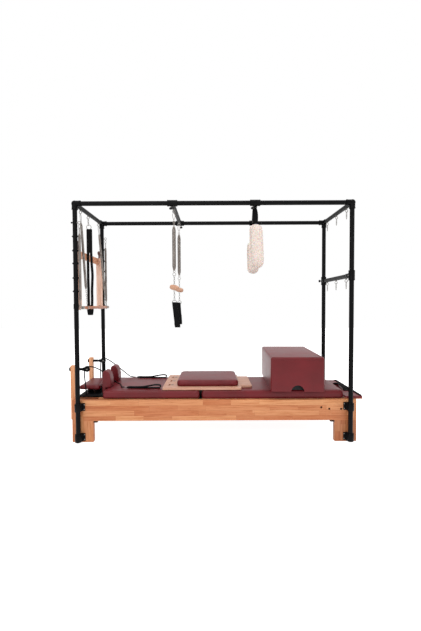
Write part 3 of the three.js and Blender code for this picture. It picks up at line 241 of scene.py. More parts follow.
def slab(shape, outline, thickness, place, edge=2 * mm, segments=3, material=0):
    """A piece cut to an outline in X and Y, extruded to its thickness about Z = 0, with its edges eased."""
    part = bmesh.new()
    face = part.faces.new([part.verts.new((x, y, -thickness / 2)) for x, y in outline])
    grown = bmesh.ops.extrude_face_region(part, geom=[face])["geom"]
    tops = [v for v in grown if isinstance(v, bmesh.types.BMVert)]
    bmesh.ops.translate(part, vec=(0, 0, thickness), verts=tops)
    bmesh.ops.recalc_face_normals(part, faces=part.faces)
    if edge:
        round_over(part, edge, segments)
    set_in(shape, part, place, material)


def block(shape, size, middle, edge=2 * mm, segments=2, material=0, turn=None):
    part = bmesh.new()
    bmesh.ops.create_cube(part, size=1.0, matrix=Matrix.Diagonal((*size, 1.0)))
    round_over(part, edge, segments)
    set_in(shape, part, Matrix.Translation(middle) @ (turn or Matrix()), material)


def turned(shape, profile, place=None, steps=32, material=0):
    """A lathe-turned form from a profile of radius and height, set in its place."""
    part = bmesh.new()
    points = [part.verts.new((radius, 0, height)) for radius, height in profile]
    lines = [part.edges.new(pair) for pair in zip(points, points[1:])]
    spun(part, points + lines, steps)
    bmesh.ops.remove_doubles(part, verts=part.verts, dist=0.005 * mm)
    set_in(shape, part, place, material)


def pointing(place, direction=(0, 0, 1)):
    """The place of a form that stands at a point and points in a direction."""
    return Matrix.Translation(place) @ Vector(direction).to_track_quat("Z", "Y").to_matrix().to_4x4()


def piece(name, shape, body, slot, materials, *nodes, sharp=35):
    """Makes a shape into a piece that stands for its CAD nodes. Without a body it is left unattached."""
    mesh = bpy.data.meshes.new(name)
    shape.to_mesh(mesh)
    shape.free()
    for material in materials:
        mesh.materials.append(material)
    mesh.shade_smooth()
    mesh.set_sharp_from_angle(angle=radians(sharp))
    made = bpy.data.objects.new(name, mesh)
    bpy.context.scene.collection.objects.link(made)
    if body:
        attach(made, body)
    if nodes:
        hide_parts(*nodes)
    return made


def carved(shape, tools):
    """A shape with the room of some tools cut out of it."""
    stock = []
    for part in (shape, tools):
        mesh = bpy.data.meshes.new("stock")
        part.to_mesh(mesh)
        part.free()
        stock.append(bpy.data.objects.new("stock", mesh))
        bpy.context.scene.collection.objects.link(stock[-1])
    cut = stock[0].modifiers.new("cut", "BOOLEAN")
    cut.operation = "DIFFERENCE"
    cut.solver = "EXACT"
    cut.object = stock[1]
    bpy.context.view_layer.update()
    result = bmesh.new()
    result.from_object(stock[0], bpy.context.evaluated_depsgraph_get())
    for made in stock:
        mesh = made.data
        bpy.data.objects.remove(made)
        bpy.data.meshes.remove(mesh)
    return result


def upright(at):
    """The place of a flat form that faces the front."""
    return Matrix.Translation(at) @ Matrix.Rotation(radians(90), 4, "X")


sides = (("front", -1), ("rear", 1))

frame_low, frame_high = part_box("side_frame_front")
middle_y = (frame_low.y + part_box("side_frame_rear")[1].y) / 2
rail_top = frame_high.z
rail_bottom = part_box("end_board_foot")[0].z
bed_half = 336
leg_widths = (180 * mm, 186 * mm)
panel = 42 * mm
corner_ease = 4 * mm

on_end = (rail_bottom, frame_high.x - 40 * mm)
base_wood = timber_finish("base timber", "#dd9e6d", "#bd7144", stave=(0.34, 0.0445), upright=on_end)
black_coat, tree, shader, place = new_finish("black powder coat", 0.4, specular=0.07)
worn = eased_share(tree, mottle(tree, place, 9.0, 6.0), 0.45, 0.75)
tinted(tree, shader, worn, "#070708", "#0e0e10")
raised(tree, shader, mottle(tree, place, 900.0, 2.0), 0.04 * mm, 0.4)
roughened(tree, shader, mottle(tree, place, 30.0), 0.2, 0.3)

bright_steel, tree, shader, place = new_finish("bright steel", 0.3, 1.0)
brushed = mottle(tree, stretched(tree, place, (60, 60, 900)), 1.0, 3.0)
tinted(tree, shader, brushed, "#6f6c69", "#989591")
roughened(tree, shader, brushed, 0.25, 0.22)
raised(tree, shader, brushed, 0.03 * mm)

screw_profile = in_mm([(0, 1.6), (3.2, 1.5), (4.6, 1.0), (5.0, 0.3), (5.0, -1.0), (0, -1.0)])
bolt_places = ((906, 290), (973, 277), (1074, 276))
bolt_bore = in_mm([(0, -14), (9.4, -14), (9.4, 5), (0, 5)])
bolt_head = in_mm([(0, -12), (3, -12), (3.4, -10), (8, -10), (9.2, -11), (9.2, -14), (0, -14)])
ledge_width, ledge_z = 32 * mm, 283 * mm
for side, direction in sides:
    low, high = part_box(f"side_frame_{side}")
    outer = middle_y + direction * bed_half * mm
    panel_middle = outer - direction * panel / 2
    outline = [
        (low.x, 0),
        (low.x + leg_widths[0], 0),
        (low.x + leg_widths[0], rail_bottom),
        (high.x - leg_widths[1], rail_bottom),
        (high.x - leg_widths[1], 0),
        (high.x, 0),
        (high.x, rail_top),
        (low.x, rail_top),
    ]
    shape = bmesh.new()
    slab(shape, outline, panel, upright((0, panel_middle, 0)), corner_ease)
    sockets = bmesh.new()
    fittings = bmesh.new()
    for x, z in bolt_places:
        bolt_at = pointing((x * mm + (low.x + high.x) / 2, outer, z * mm), (0, direction, 0))
        turned(sockets, bolt_bore, bolt_at, 24)
        turned(fittings, bolt_head, bolt_at, 20)
    shape = carved(shape, sockets)
    ledge_end = high.x - 54 * mm
    ledge_y = outer - direction * (panel + 16 * mm)
    block(shape, (2 * ledge_end, ledge_width, 6 * mm), (0, ledge_y, ledge_z), 1 * mm, material=1)
    for end in (-1, 1):
        leg_inner = (low.x + leg_widths[0]) if end < 0 else (high.x - leg_widths[1])
        corner = (leg_inner - end * 16 * mm, outer - direction * 18 * mm, rail_bottom - 7 * mm)
        block(shape, (34 * mm, 30 * mm, 14 * mm), corner, 2 * mm, material=2)
        turned(shape, screw_profile, pointing((corner[0], corner[1], corner[2] - 7 * mm), (0, 0, -1)), 16, 1)
    finishes = [base_wood, bright_steel, black_coat]
    piece(f"side_frame_panel_{side}", shape, "base", "wood", finishes, f"side_frame_{side}")
    piece(f"bolt_sockets_{side}", fittings, "base", "black_metal", [black_coat])

across_grain = (0, 0, radians(90))
cross_wood = timber_finish("cross timber", "#dd9e6d", "#bf7348", across_grain, (0.3, 0.0445))
board_thick = 34 * mm
cleat = (19 * mm, 16 * mm, 158 * mm)
for end in ("head", "foot"):
    low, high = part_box(f"end_board_{end}")
    outer_x = frame_low.x if end == "head" else frame_high.x
    inner_x = outer_x + (board_thick if end == "head" else -board_thick)
    size = (board_thick, high.y - low.y, rail_top - rail_bottom)
    shape = bmesh.new()
    block(shape, size, ((outer_x + inner_x) / 2, middle_y, (rail_top + rail_bottom) / 2), corner_ease, 3)
    if end == "head":
        for direction in (-1, 1):
            riser_y = middle_y + direction * 238 * mm
            for hand in (-1, 1):
                cleat_middle = (outer_x - cleat[0] / 2 + 1 * mm, riser_y + hand * 30.7 * mm, 271 * mm)
                block(shape, cleat, cleat_middle, 2 * mm, 2)
    finishes = [cross_wood, bright_steel, black_coat]
    piece(f"end_panel_{end}", shape, "base", "wood", finishes, f"end_board_{end}")


# Spring bar under the foot end.
# A flat steel bar with five turned hook posts that the carriage springs hook onto. It is bolted between the
# side frames, and its posts carry a groove near the top.
low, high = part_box("spring_bar")
shape = bmesh.new()
bar_middle = ((low.x + high.x) / 2, middle_y, low.z + 4 * mm)
block(shape, (40 * mm, high.y - low.y, 8 * mm), bar_middle, 1 * mm)
hook_post = in_mm([(0, 0), (7, 0), (7, 2), (4.2, 3), (4.2, 13), (5, 14), (5, 19), (4.2, 20), (0, 20)])
hook_posts, bar_reach = 5, 293.7
for count in range(hook_posts):
    y = middle_y + ((2 * count + 1) / hook_posts - 1) * bar_reach * mm * 0.8
    turned(shape, hook_post, pointing((bar_middle[0], y, low.z + 8 * mm)), 20)
piece("spring_bar_with_posts", shape, "base", "steel", [bright_steel], "spring_bar")


# Posts of the canopy.
# Straight steel tubes, powder coated black. Two cast saddle clamps hold each to the side
# frame with silver screws, and the head posts carry a row of eyebolt shanks and the push bar's pivot.
tube = 19 * mm
post_y = 370 * mm
head_x = sum(v.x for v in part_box("crossbar_head")) / 2
foot_x = sum(v.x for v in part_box("crossbar_foot")) / 2
canopy_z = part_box("crossbar_head")[1].z - tube
pivot_z = 1150 * mm
post_eye_z = 1841 * mm


def tube_profile(radius, length, ease=1 * mm):
    near_end = [(0, 0), (radius - ease, 0), (radius, ease)]
    return near_end + [(radius, length - ease), (radius - ease, length), (0, length)]


def rounded(width, height, radius, steps=5):
    """The outline of a rectangle with round corners, about the origin."""
    points = []
    for quarter, (sx, sy) in enumerate(((1, 1), (-1, 1), (-1, -1), (1, -1))):
        for step in range(steps + 1):
            angle = (quarter + step / steps) * pi / 2
            x = sx * (width / 2 - radius) + radius * cos(angle)
            points.append((x, sy * (height / 2 - radius) + radius * sin(angle)))
    return points


def wire_ring(shape, radius, wire, place, steps=28, round_sides=8, material=0):
    """A ring of round wire about the Z axis of its place."""
    part = bmesh.new()
    section = {"cap_ends": False, "radius": wire, "segments": round_sides}
    stand = Matrix.Translation((radius, 0, 0)) @ Matrix.Rotation(radians(90), 4, "X")
    bmesh.ops.create_circle(part, matrix=stand, **section)
    spun(part, part.verts[:] + part.edges[:], steps)
    set_in(shape, part, place, material)


def saddle_clamp(shape, x, z, inward, direction):
    """A cast clamp round a post: its barrel, a web, and a plate with two ears on each side."""
    axis = Vector((x, middle_y + direction * post_y, z))
    barrel = in_mm([(19.2, -33), (25, -33), (27, -30), (27, 30), (25, 33), (19.2, 33)])
    turned(shape, barrel, Matrix.Translation(axis), 40)
    web = axis - Vector((0, direction * 19 * mm, 0))
    block(shape, (64 * mm, 24 * mm, 62 * mm), web, 3 * mm, 2)
    plate_y = middle_y + direction * (bed_half + 3.3) * mm
    outline = []
    plate_width, plate_height, plate_aside, deepest_waist = 88, 66, 9, 9
    for px, pz in rounded(plate_width, plate_height, 10, 4):
        waist = deepest_waist * (1 - min(1, abs(pz) / 30) ** 2) if abs(px) > 30 else 0
        outline.append(((plate_aside + px - waist * (1 if px > 0 else -1)) * mm * inward, pz * mm))
    for pz in (20, -20):
        for px in (-24, 43):
            screw_at = (x + inward * px * mm, plate_y + direction * 3 * mm, z + pz * mm)
            turned(shape, screw_profile, pointing(screw_at, (0, direction, 0)), 16, 1)
    slab(shape, outline, 6 * mm, upright((x, plate_y, z)), 1.5 * mm, 2)


stub_heights = (1729, 1613, 1507, 1387, 1277)
stub = in_mm([(0, 27), (3.6, 27), (5, 25.6), (5, 24), (7.4, 23), (7.4, 20), (6, 19), (6, 16), (0, 16)])
shank = in_mm([(0, 24), (4, 24), (4, 19), (8, 19), (8, 17), (0, 17)])
nut = in_mm([(0, -33), (5, -33), (7, -31), (7, -24), (4, -24), (4, -17), (0, -17)])
collar = in_mm([(19, -22), (21, -21), (21.6, -19), (21.6, 19), (21, 21), (19, 22)])
pin = in_mm([(0, 84), (8, 84), (9, 82), (9, 80.5), (6, 80.5), (6, 57.5), (10, 57.5), (10, 55), (6, 54)])
pin += in_mm([(6, 10), (0, 10)])
for side, direction in sides:
    for end, x, inward in (("head", head_x, 1), ("foot", foot_x, -1)):
        low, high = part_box(f"post_{end}_{side}")
        axis = Vector((x, middle_y + direction * post_y, 0))
        shape = bmesh.new()
        foot_at = Matrix.Translation(axis + Vector((0, 0, low.z)))
        turned(shape, tube_profile(tube, high.z - low.z), foot_at, 48)
        for z in (47 * mm, rail_top - 54 * mm):
            saddle_clamp(shape, x, z, inward, direction)
        if end == "head":
            for z in stub_heights:
                stub_at = axis + Vector((0, 0, z * mm))
                turned(shape, stub, pointing(stub_at, (-1, 0, 0)), 12)
                turned(shape, stub[4:], pointing(stub_at, (1, 0, 0)), 12)
            bolt_at = pointing(axis + Vector((0, 0, post_eye_z)), (1, 0, 0))
            turned(shape, shank, bolt_at, 16, 1)
            turned(shape, nut, bolt_at, 16)
            eye_at = axis + Vector((35 * mm, 0, post_eye_z))
            wire_ring(shape, 11 * mm, 2.6 * mm, upright(eye_at), material=1)
            collar_at = axis + Vector((0, 0, pivot_z))
            turned(shape, collar, Matrix.Translation(collar_at), 40)
            pin_at = collar_at + Vector((-10 * mm, 0, 0))
            turned(shape, pin, pointing(pin_at, (0, -direction, 0)), 24, 1)
        finishes = [black_coat, bright_steel]
        piece(f"post_tube_{end}_{side}", shape, "base", "black_metal", finishes, f"post_{end}_{side}")


# Top rails and the two end crossbars.
# Tubes joined by cast three-way corner fittings, whose sockets end in a thicker lip and are locked by grub
# screws. Eyebolts hang under both crossbars, and at the foot end a silver snap hook hangs in each.
def tube_socket(shape, start, direction, reach, radius=25, material=0):
    """A fitting's socket, plain to its lip, with a grub screw beside it."""
    plain = [(0, 0), (radius - 1, 0), (radius - 1, reach - 9)]
    lip = [(radius + 0.6, reach - 7), (radius + 0.6, reach - 1.5), (radius - 0.6, reach), (19.2, reach)]
    turned(shape, in_mm(plain + lip), pointing(start, direction), 40, material)
    across = Vector((0, -1, 0)) if abs(direction[1]) < 0.5 else Vector((-1, 0, 0))
    screw_at = Vector(start) + Vector(direction).normalized() * (reach - 22) * mm + across * (radius - 2) * mm
    grub = in_mm([(0, 0.6), (2.2, 0.6), (2.6, 1.4), (4.4, 1.4), (4.8, 0.8), (4.8, -1), (0, -1)])
    turned(shape, grub, pointing(screw_at, across), 12, material)


def eyebolt(shape, x, y, z, material=1):
    """An eyebolt under a tube at the height z of its lowest line, with its nut and washer."""
    washer = in_mm([(0, 3), (7, 3), (8.5, 0), (8.5, -1.2), (6.4, -1.6), (6.4, -5)])
    shank = in_mm([(3.6, -5.4), (3.6, -9.5), (0, -9.5)])
    turned(shape, washer + shank, Matrix.Translation((x, y, z)), 16, material)
    wire_ring(shape, 11 * mm, 2.8 * mm, upright((x, y, z - 19 * mm)), material=material)


def run_through(points, steps=6, closed=False):
    """A smooth run through points: a centripetal curve with even steps from each point to the next."""
    points = [Vector(point) for point in points]
    if closed:
        fence = points[-1:] + points + points[:2]
    else:
        fence = [2 * points[0] - points[1]] + points + [2 * points[-1] - points[-2]]
    course = []
    for a, b, c, d in zip(fence, fence[1:], fence[2:], fence[3:]):
        knots = [0.0]
        for near, far in ((a, b), (b, c), (c, d)):
            knots.append(knots[-1] + max((far - near).length, 1e-6) ** 0.5)
        for step in range(steps):
            t = knots[1] + (knots[2] - knots[1]) * step / steps
            ab = a.lerp(b, (t - knots[0]) / (knots[1] - knots[0]))
            bc = b.lerp(c, (t - knots[1]) / (knots[2] - knots[1]))
            cd = c.lerp(d, (t - knots[2]) / (knots[3] - knots[2]))
            abc = ab.lerp(bc, (t - knots[0]) / (knots[2] - knots[0]))
            bcd = bc.lerp(cd, (t - knots[1]) / (knots[3] - knots[1]))
            course.append(abc.lerp(bcd, (t - knots[1]) / (knots[2] - knots[1])))
    return course if closed else course + [points[-1]]


def lofted(shape, rings, closed=False, place=None, material=0):
    """A skin drawn through rings that match point for point, closed over both ends or joined into a loop."""
    part = bmesh.new()
    ring = [part.verts.new(point) for point in rings[0]]
    edges = [part.edges.new(pair) for pair in zip(ring, ring[1:] + ring[:1])]
    first = edges
    for points in rings[1:]:
        grown = bmesh.ops.extrude_edge_only(part, edges=edges)["geom"]
        fresh = {v for v in grown if isinstance(v, bmesh.types.BMVert)}
        ring = [next(e.other_vert(v) for e in v.link_edges if e.other_vert(v) in fresh) for v in ring]
        edges = [e for e in grown if isinstance(e, bmesh.types.BMEdge) and fresh.issuperset(e.verts)]
        for vert, point in zip(ring, points):
            vert.co = point
    if closed:
        bmesh.ops.bridge_loops(part, edges=first + edges)
    else:
        bmesh.ops.edgeloop_fill(part, edges=first)
        bmesh.ops.edgeloop_fill(part, edges=edges)
    set_in(shape, part, place, material)


def swept(shape, path, section, up=None, closed=False, place=None, material=0, swell=None):
    """A section carried along a path. Up is the side that its own first axis keeps to."""
    count = len(path)
    rings = []
    normal = None
    for i, point in enumerate(path):
        before = path[(i - 1) % count] if closed or i else point
        after = path[(i + 1) % count] if closed or i < count - 1 else point
        tangent = (after - before).normalized()
        normal = Vector(up) if up else (normal or tangent.orthogonal())
        normal = (normal - tangent * normal.dot(tangent)).normalized()
        third = tangent.cross(normal)
        size = swell(i / (count - 1)) if swell else 1.0
        rings.append([point + (normal * a + third * b) * size for a, b in section])
    lofted(shape, rings, closed, place, material)


def round_section(radius, count=8):
    return [(radius * cos(tau * i / count), radius * sin(tau * i / count)) for i in range(count)]


def snap_hook(shape, x, y, z, length=62 * mm, material=1):
    """A snap hook that hangs in an eye from the height z: a long wire loop with a spring gate."""
    half, bow = 6.6 * mm, 9 * mm
    top, foot = z, z - length
    loop = [(y, top), (y + half, top - bow), (y + half, foot + bow), (y, foot), (y - half, foot + bow)]
    path = run_through([(x, a, b) for a, b in loop + [(y - half, top - bow)]], 5, closed=True)
    swept(shape, path, round_section(1.9 * mm, 8), closed=True, material=material)
    gate = in_mm([(0, 0), (2.6, 0), (2.6, 16), (1.8, 18), (1.8, 26), (0, 26)])
    turned(shape, gate, Matrix.Translation((x, y + half, foot + 20 * mm)), 12, material)


blank = in_mm([(0, 24.6), (9, 24.6), (10, 23.6), (10, 20), (0, 20)])
ball = [(25.6 * sin(pi * i / 16) * mm, -25.6 * cos(pi * i / 16) * mm) for i in range(17)]
for side, direction in sides:
    rail_y = middle_y + direction * post_y
    shape = bmesh.new()
    start = Vector((head_x, rail_y, canopy_z))
    turned(shape, tube_profile(tube, foot_x - head_x), pointing(start, (1, 0, 0)), 48)
    for x, inward in ((head_x, 1), (foot_x, -1)):
        corner = Vector((x, rail_y, canopy_z))
        turned(shape, ball, Matrix.Translation(corner), 40)
        for socket_way in ((inward, 0, 0), (0, -direction, 0), (0, 0, -1)):
            tube_socket(shape, corner, socket_way, 50)
        turned(shape, blank, pointing(corner, (-inward, 0, 0)), 24)
    finishes = [black_coat, bright_steel]
    piece(f"top_rail_tube_{side}", shape, "base", "black_metal", finishes, f"top_rail_{side}")

eye_rows = {"head": (-240, -45, 255), "foot": (-247, 0, 260)}
for end, x in (("head", head_x), ("foot", foot_x)):
    low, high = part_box(f"crossbar_{end}")
    shape = bmesh.new()
    turned(shape, tube_profile(tube, high.y - low.y), pointing((x, low.y, canopy_z), (0, 1, 0)), 48)
    for y in eye_rows[end]:
        eyebolt(shape, x, middle_y + y * mm, canopy_z - tube)
        if end == "foot":
            snap_hook(shape, x, middle_y + y * mm, canopy_z - tube - 27 * mm)
    finishes = [black_coat, bright_steel]
    piece(f"end_crossbar_{end}", shape, "base", "black_metal", finishes, f"crossbar_{end}")


# Sliding crossbars and their clamp knobs.
# A tube between two tees, each a sleeve that slides on a long tube. A knob's screw clamps the sleeve, and its
# head is a moulded black plastic star on a metal stem.
black_plastic, tree, shader, place = new_finish("black moulded plastic", 0.45, specular=0.2)
cloudy = mottle(tree, place, 60.0)
tinted(tree, shader, cloudy, "#08080a", "#111113")
raised(tree, shader, mottle(tree, place, 1400.0, 1.0), 0.05 * mm)


def tee(shape, at, slide, across):
    """A tee fitting: its sleeve along one direction, its socket along the other."""
    half = [(25.4, 31), (26, 33), (26, 39.5), (26, 41), (19.8, 41)]
    sleeve = [(r, -h) for r, h in reversed(half)] + half + [(19.8, -41)]
    turned(shape, in_mm(sleeve), pointing(at, slide), 40)
    flare = in_mm([(25.5, 12), (24.5, 20), (22, 30), (22, 46), (24, 48), (24, 54.5), (23, 56), (19.2, 56)])
    turned(shape, flare, pointing(at, across), 40)


def star_knob(shape, at, down, lobes=6, wing=1.0):
    """A moulded star knob whose top is towards the clamp, with its threaded stem."""
    part = bmesh.new()
    head = [(0, 0), (9, 0), (12, 1.4), (13.2, 4), (13.2, 11), (11.5, 14), (8, 16), (0, 16)]
    turned(part, head, steps=48)
    for vert in part.verts:
        spread = Vector((vert.co.x, vert.co.y)).length
        angle = Vector((1, 0)).angle_signed(Vector((vert.co.x, vert.co.y))) if spread > 0.01 else 0
        grip_share = 1 + (0.06 * cos(lobes * angle) if spread > 8.5 else 0)
        vert.co.x *= grip_share
        vert.co.y *= grip_share * wing
    bmesh.ops.scale(part, vec=(mm, mm, mm), verts=part.verts)
    set_in(shape, part, pointing(at, down), 0)
    stem = in_mm([(0, 0.5), (7, 0.5), (7, -2), (4.6, -3), (4.6, -15), (0, -15)])
    turned(shape, stem, pointing(at, down), 16, 1)


def sliding_bar(name, body, node, front, rear, slide, eyes=(), hooks=False):
    shape = bmesh.new()
    front, rear = Vector(front), Vector(rear)
    across = (rear - front).normalized()
    start = front + across * 20 * mm
    turned(shape, tube_profile(tube, (rear - front).length - 40 * mm), pointing(start, across), 48)
    tee(shape, front, slide, across)
    tee(shape, rear, slide, -across)
    for y in eyes:
        eyebolt(shape, front.x, middle_y + y * mm, front.z - tube)
        if hooks:
            snap_hook(shape, front.x, middle_y + y * mm, front.z - tube - 27 * mm)
    piece(name, shape, body, "black_metal", [black_coat, bright_steel], node)


left_x = sum(v.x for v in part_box("crossbar_left")) / 2
right_low, right_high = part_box("crossbar_right")
sleeve_half = 41 * mm
right_front_x = right_low.x + sleeve_half
right_rear_x = right_high.x - sleeve_half
mid_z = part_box("crossbar_mid")[1].z - sleeve_half
front_y = middle_y - post_y
rear_y = middle_y + post_y
left_ends = ((left_x, front_y, canopy_z), (left_x, rear_y, canopy_z))
right_ends = ((right_front_x, front_y, canopy_z), (right_rear_x, rear_y, canopy_z))
mid_ends = ((foot_x, front_y, mid_z), (foot_x, rear_y, mid_z))
sliding_bar("left_crossbar_tube", "crossbar_left", "crossbar_left", *left_ends, (1, 0, 0), (-250, 250))
sliding_bar("right_crossbar_tube", "crossbar_right", "crossbar_right", *right_ends, (1, 0, 0))
sliding_bar("mid_crossbar_tube", "crossbar_mid", "crossbar_mid", *mid_ends, (0, 0, 1), (-250, 0, 250), True)

for bar in ("left", "right", "mid"):
    for side, direction in sides:
        node = f"knob_{bar}_{side}"
        low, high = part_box(node)
        middle = (low + high) / 2
        shape = bmesh.new()
        if bar == "mid":
            star_knob(shape, (low.x + 16 * mm, middle.y, middle.z), (-1, 0, 0))
        else:
            star_knob(shape, (middle.x, middle.y, low.z + 16 * mm), (0, 0, -1))
        piece(f"star_{node}", shape, node, "black_plastic", [black_plastic, bright_steel], node)


# Centre springs with their wooden grips and ankle straps.
# Close-wound steel springs, drawn in at both ends, hang from a snap link in each eyebolt. A short chain holds
# a turned wooden grip, and a second one ends in a D-ring with a webbing ankle strap.
spring_steel, tree, shader, place = new_finish("spring steel", 0.42, 0.85)
dull = eased_share(tree, mottle(tree, place, 14.0, 6.0), 0.3, 0.7)
tinted(tree, shader, dull, "#958e88", "#807873")
roughened(tree, shader, dull, 0.2, 0.34)
raised(tree, shader, mottle(tree, place, 700.0, 2.0), 0.05 * mm)


def close_coil(shape, low, high, radius, wire, drawn, place, around=10, round_sides=5):
    """A close-wound spring about Z from the low to the high height, its end turns drawn in to hook it on.

    A short stretch is wound and doubled five times over.
    """
    doublings = 5
    share = (high - low) / 2**doublings
    turns = max(1, round(share / (2.15 * wire)))
    part = bmesh.new()
    stand = Matrix.Translation((radius, 0, low)) @ Matrix.Rotation(radians(90), 4, "X")
    bmesh.ops.create_circle(part, cap_ends=False, radius=wire, segments=round_sides, matrix=stand)
    steps = turns * around
    winding = {"cent": (0, 0, 0), "axis": (0, 0, 1), "angle": tau * turns, "dvec": (0, 0, share / steps)}
    bmesh.ops.spin(part, geom=part.verts[:] + part.edges[:], steps=steps, **winding)
    for doubling in range(doublings):
        copied = bmesh.ops.duplicate(part, geom=part.verts[:] + part.edges[:] + part.faces[:])["geom"]
        above = [item for item in copied if isinstance(item, bmesh.types.BMVert)]
        bmesh.ops.translate(part, vec=(0, 0, share * 2**doubling), verts=above)
    bmesh.ops.remove_doubles(part, verts=part.verts, dist=0.02 * mm)
    bmesh.ops.holes_fill(part, edges=part.edges, sides=round_sides)
    for vert in part.verts:
        to_end = min(vert.co.z - low, high - vert.co.z)
        narrowing = 1 - drawn * max(0.0, 1 - max(to_end, 0) / (3 * radius)) ** 2
        vert.co.x *= narrowing
        vert.co.y *= narrowing
    set_in(shape, part, place, 0)


def chain(shape, start, end, link=20 * mm, wire=1.8 * mm, material=0):
    """A welded chain between two points, each link turned a quarter from the last."""
    start, end = Vector(start), Vector(end)
    count = max(1, round((end - start).length / (link - 2.4 * wire)))
    pitch = (end - start) / count
    half = link / 2
    belly = 2.8 * wire
    one_side = [(0, -half), (belly, -half * 0.5), (belly, half * 0.5)]
    outline = one_side + [(-x, -z) for x, z in one_side]
    path = run_through([(x, 0, z) for x, z in outline], 3, closed=True)
    for i in range(count):
        quarter = Matrix.Rotation(radians(90) * (i % 2) + radians(20), 4, "Z")
        place = pointing(start + pitch * (i + 0.5), pitch) @ quarter
        swept(shape, path, round_section(wire, 6), closed=True, place=place, material=material)


def snap_link(shape, top, foot, material=0):
    """A steel snap link between two heights on one upright line: a pear-shaped wire loop with a gate."""
    length = (top - foot).length
    wide, thin = length * 0.2, length * 0.1
    one_side = [(thin, length * 0.12), (wide, length * 0.62), (wide * 0.7, length * 0.9)]
    outline = [(0, 0), *one_side, (0, length), *((-x, z) for x, z in reversed(one_side))]
    path = run_through([(x, 0, z) for x, z in outline], 4, closed=True)
    place = pointing(foot, top - foot)
    swept(shape, path, round_section(2.2 * mm), closed=True, place=place, material=material)


grip_wood = timber_finish("turned grip wood", "#cfa88f", "#ba8c74", stave=(0.9, 0.2), contrast=0.6)
webbing, tree, shader, place = new_finish("black webbing", 0.85, specular=0.12)
threads = []
for direction in ("X", "Y", "Z"):
    band = {"Vector": place, "Scale": 260.0, "Distortion": 1.5, "Detail": 1.0}
    threads.append(put(tree, "TexWave", band, bands_direction=direction).outputs["Fac"])
crossing = reckon(tree, "MULTIPLY", reckon(tree, "MAXIMUM", threads[0], threads[1]), threads[2])
tinted(tree, shader, crossing, "#050506", "#111113")
raised(tree, shader, crossing, 0.3 * mm, 0.6)

end_view = Matrix(((0, 0, 1, 0), (1, 0, 0, 0), (0, 1, 0, 0), (0, 0, 0, 1)))
spring_y = 250
coil_tops = {"front": 1832 * mm, "rear": 1856 * mm}
coil_foot = 1457 * mm
grip_z = 1310 * mm
grip_half = [(23, 0), (22.8, 12), (21, 23), (17.4, 32), (12, 38), (6, 40), (0, 40)]
grip_profile = in_mm([(r, -h) for r, h in reversed(grip_half[1:])] + grip_half)
ferrule = in_mm([(0, -24.5), (5.5, -24.5), (6.5, -23), (6.5, 23), (5.5, 24.5), (0, 24.5)])
strap_leans = {"front": (0, 26, 20), "rear": (-8, 12, 18)}
strap_edge = [(-1, -2.2), (-0.95, -2.8), (0.95, -2.8), (1, -2.2)]


def nipped(share):
    """The width of an ankle strap along its loop: it narrows where the loop turns at its foot."""
    return 1 - 0.3 * max(0.0, 1 - abs(share - 0.5) / 0.06)


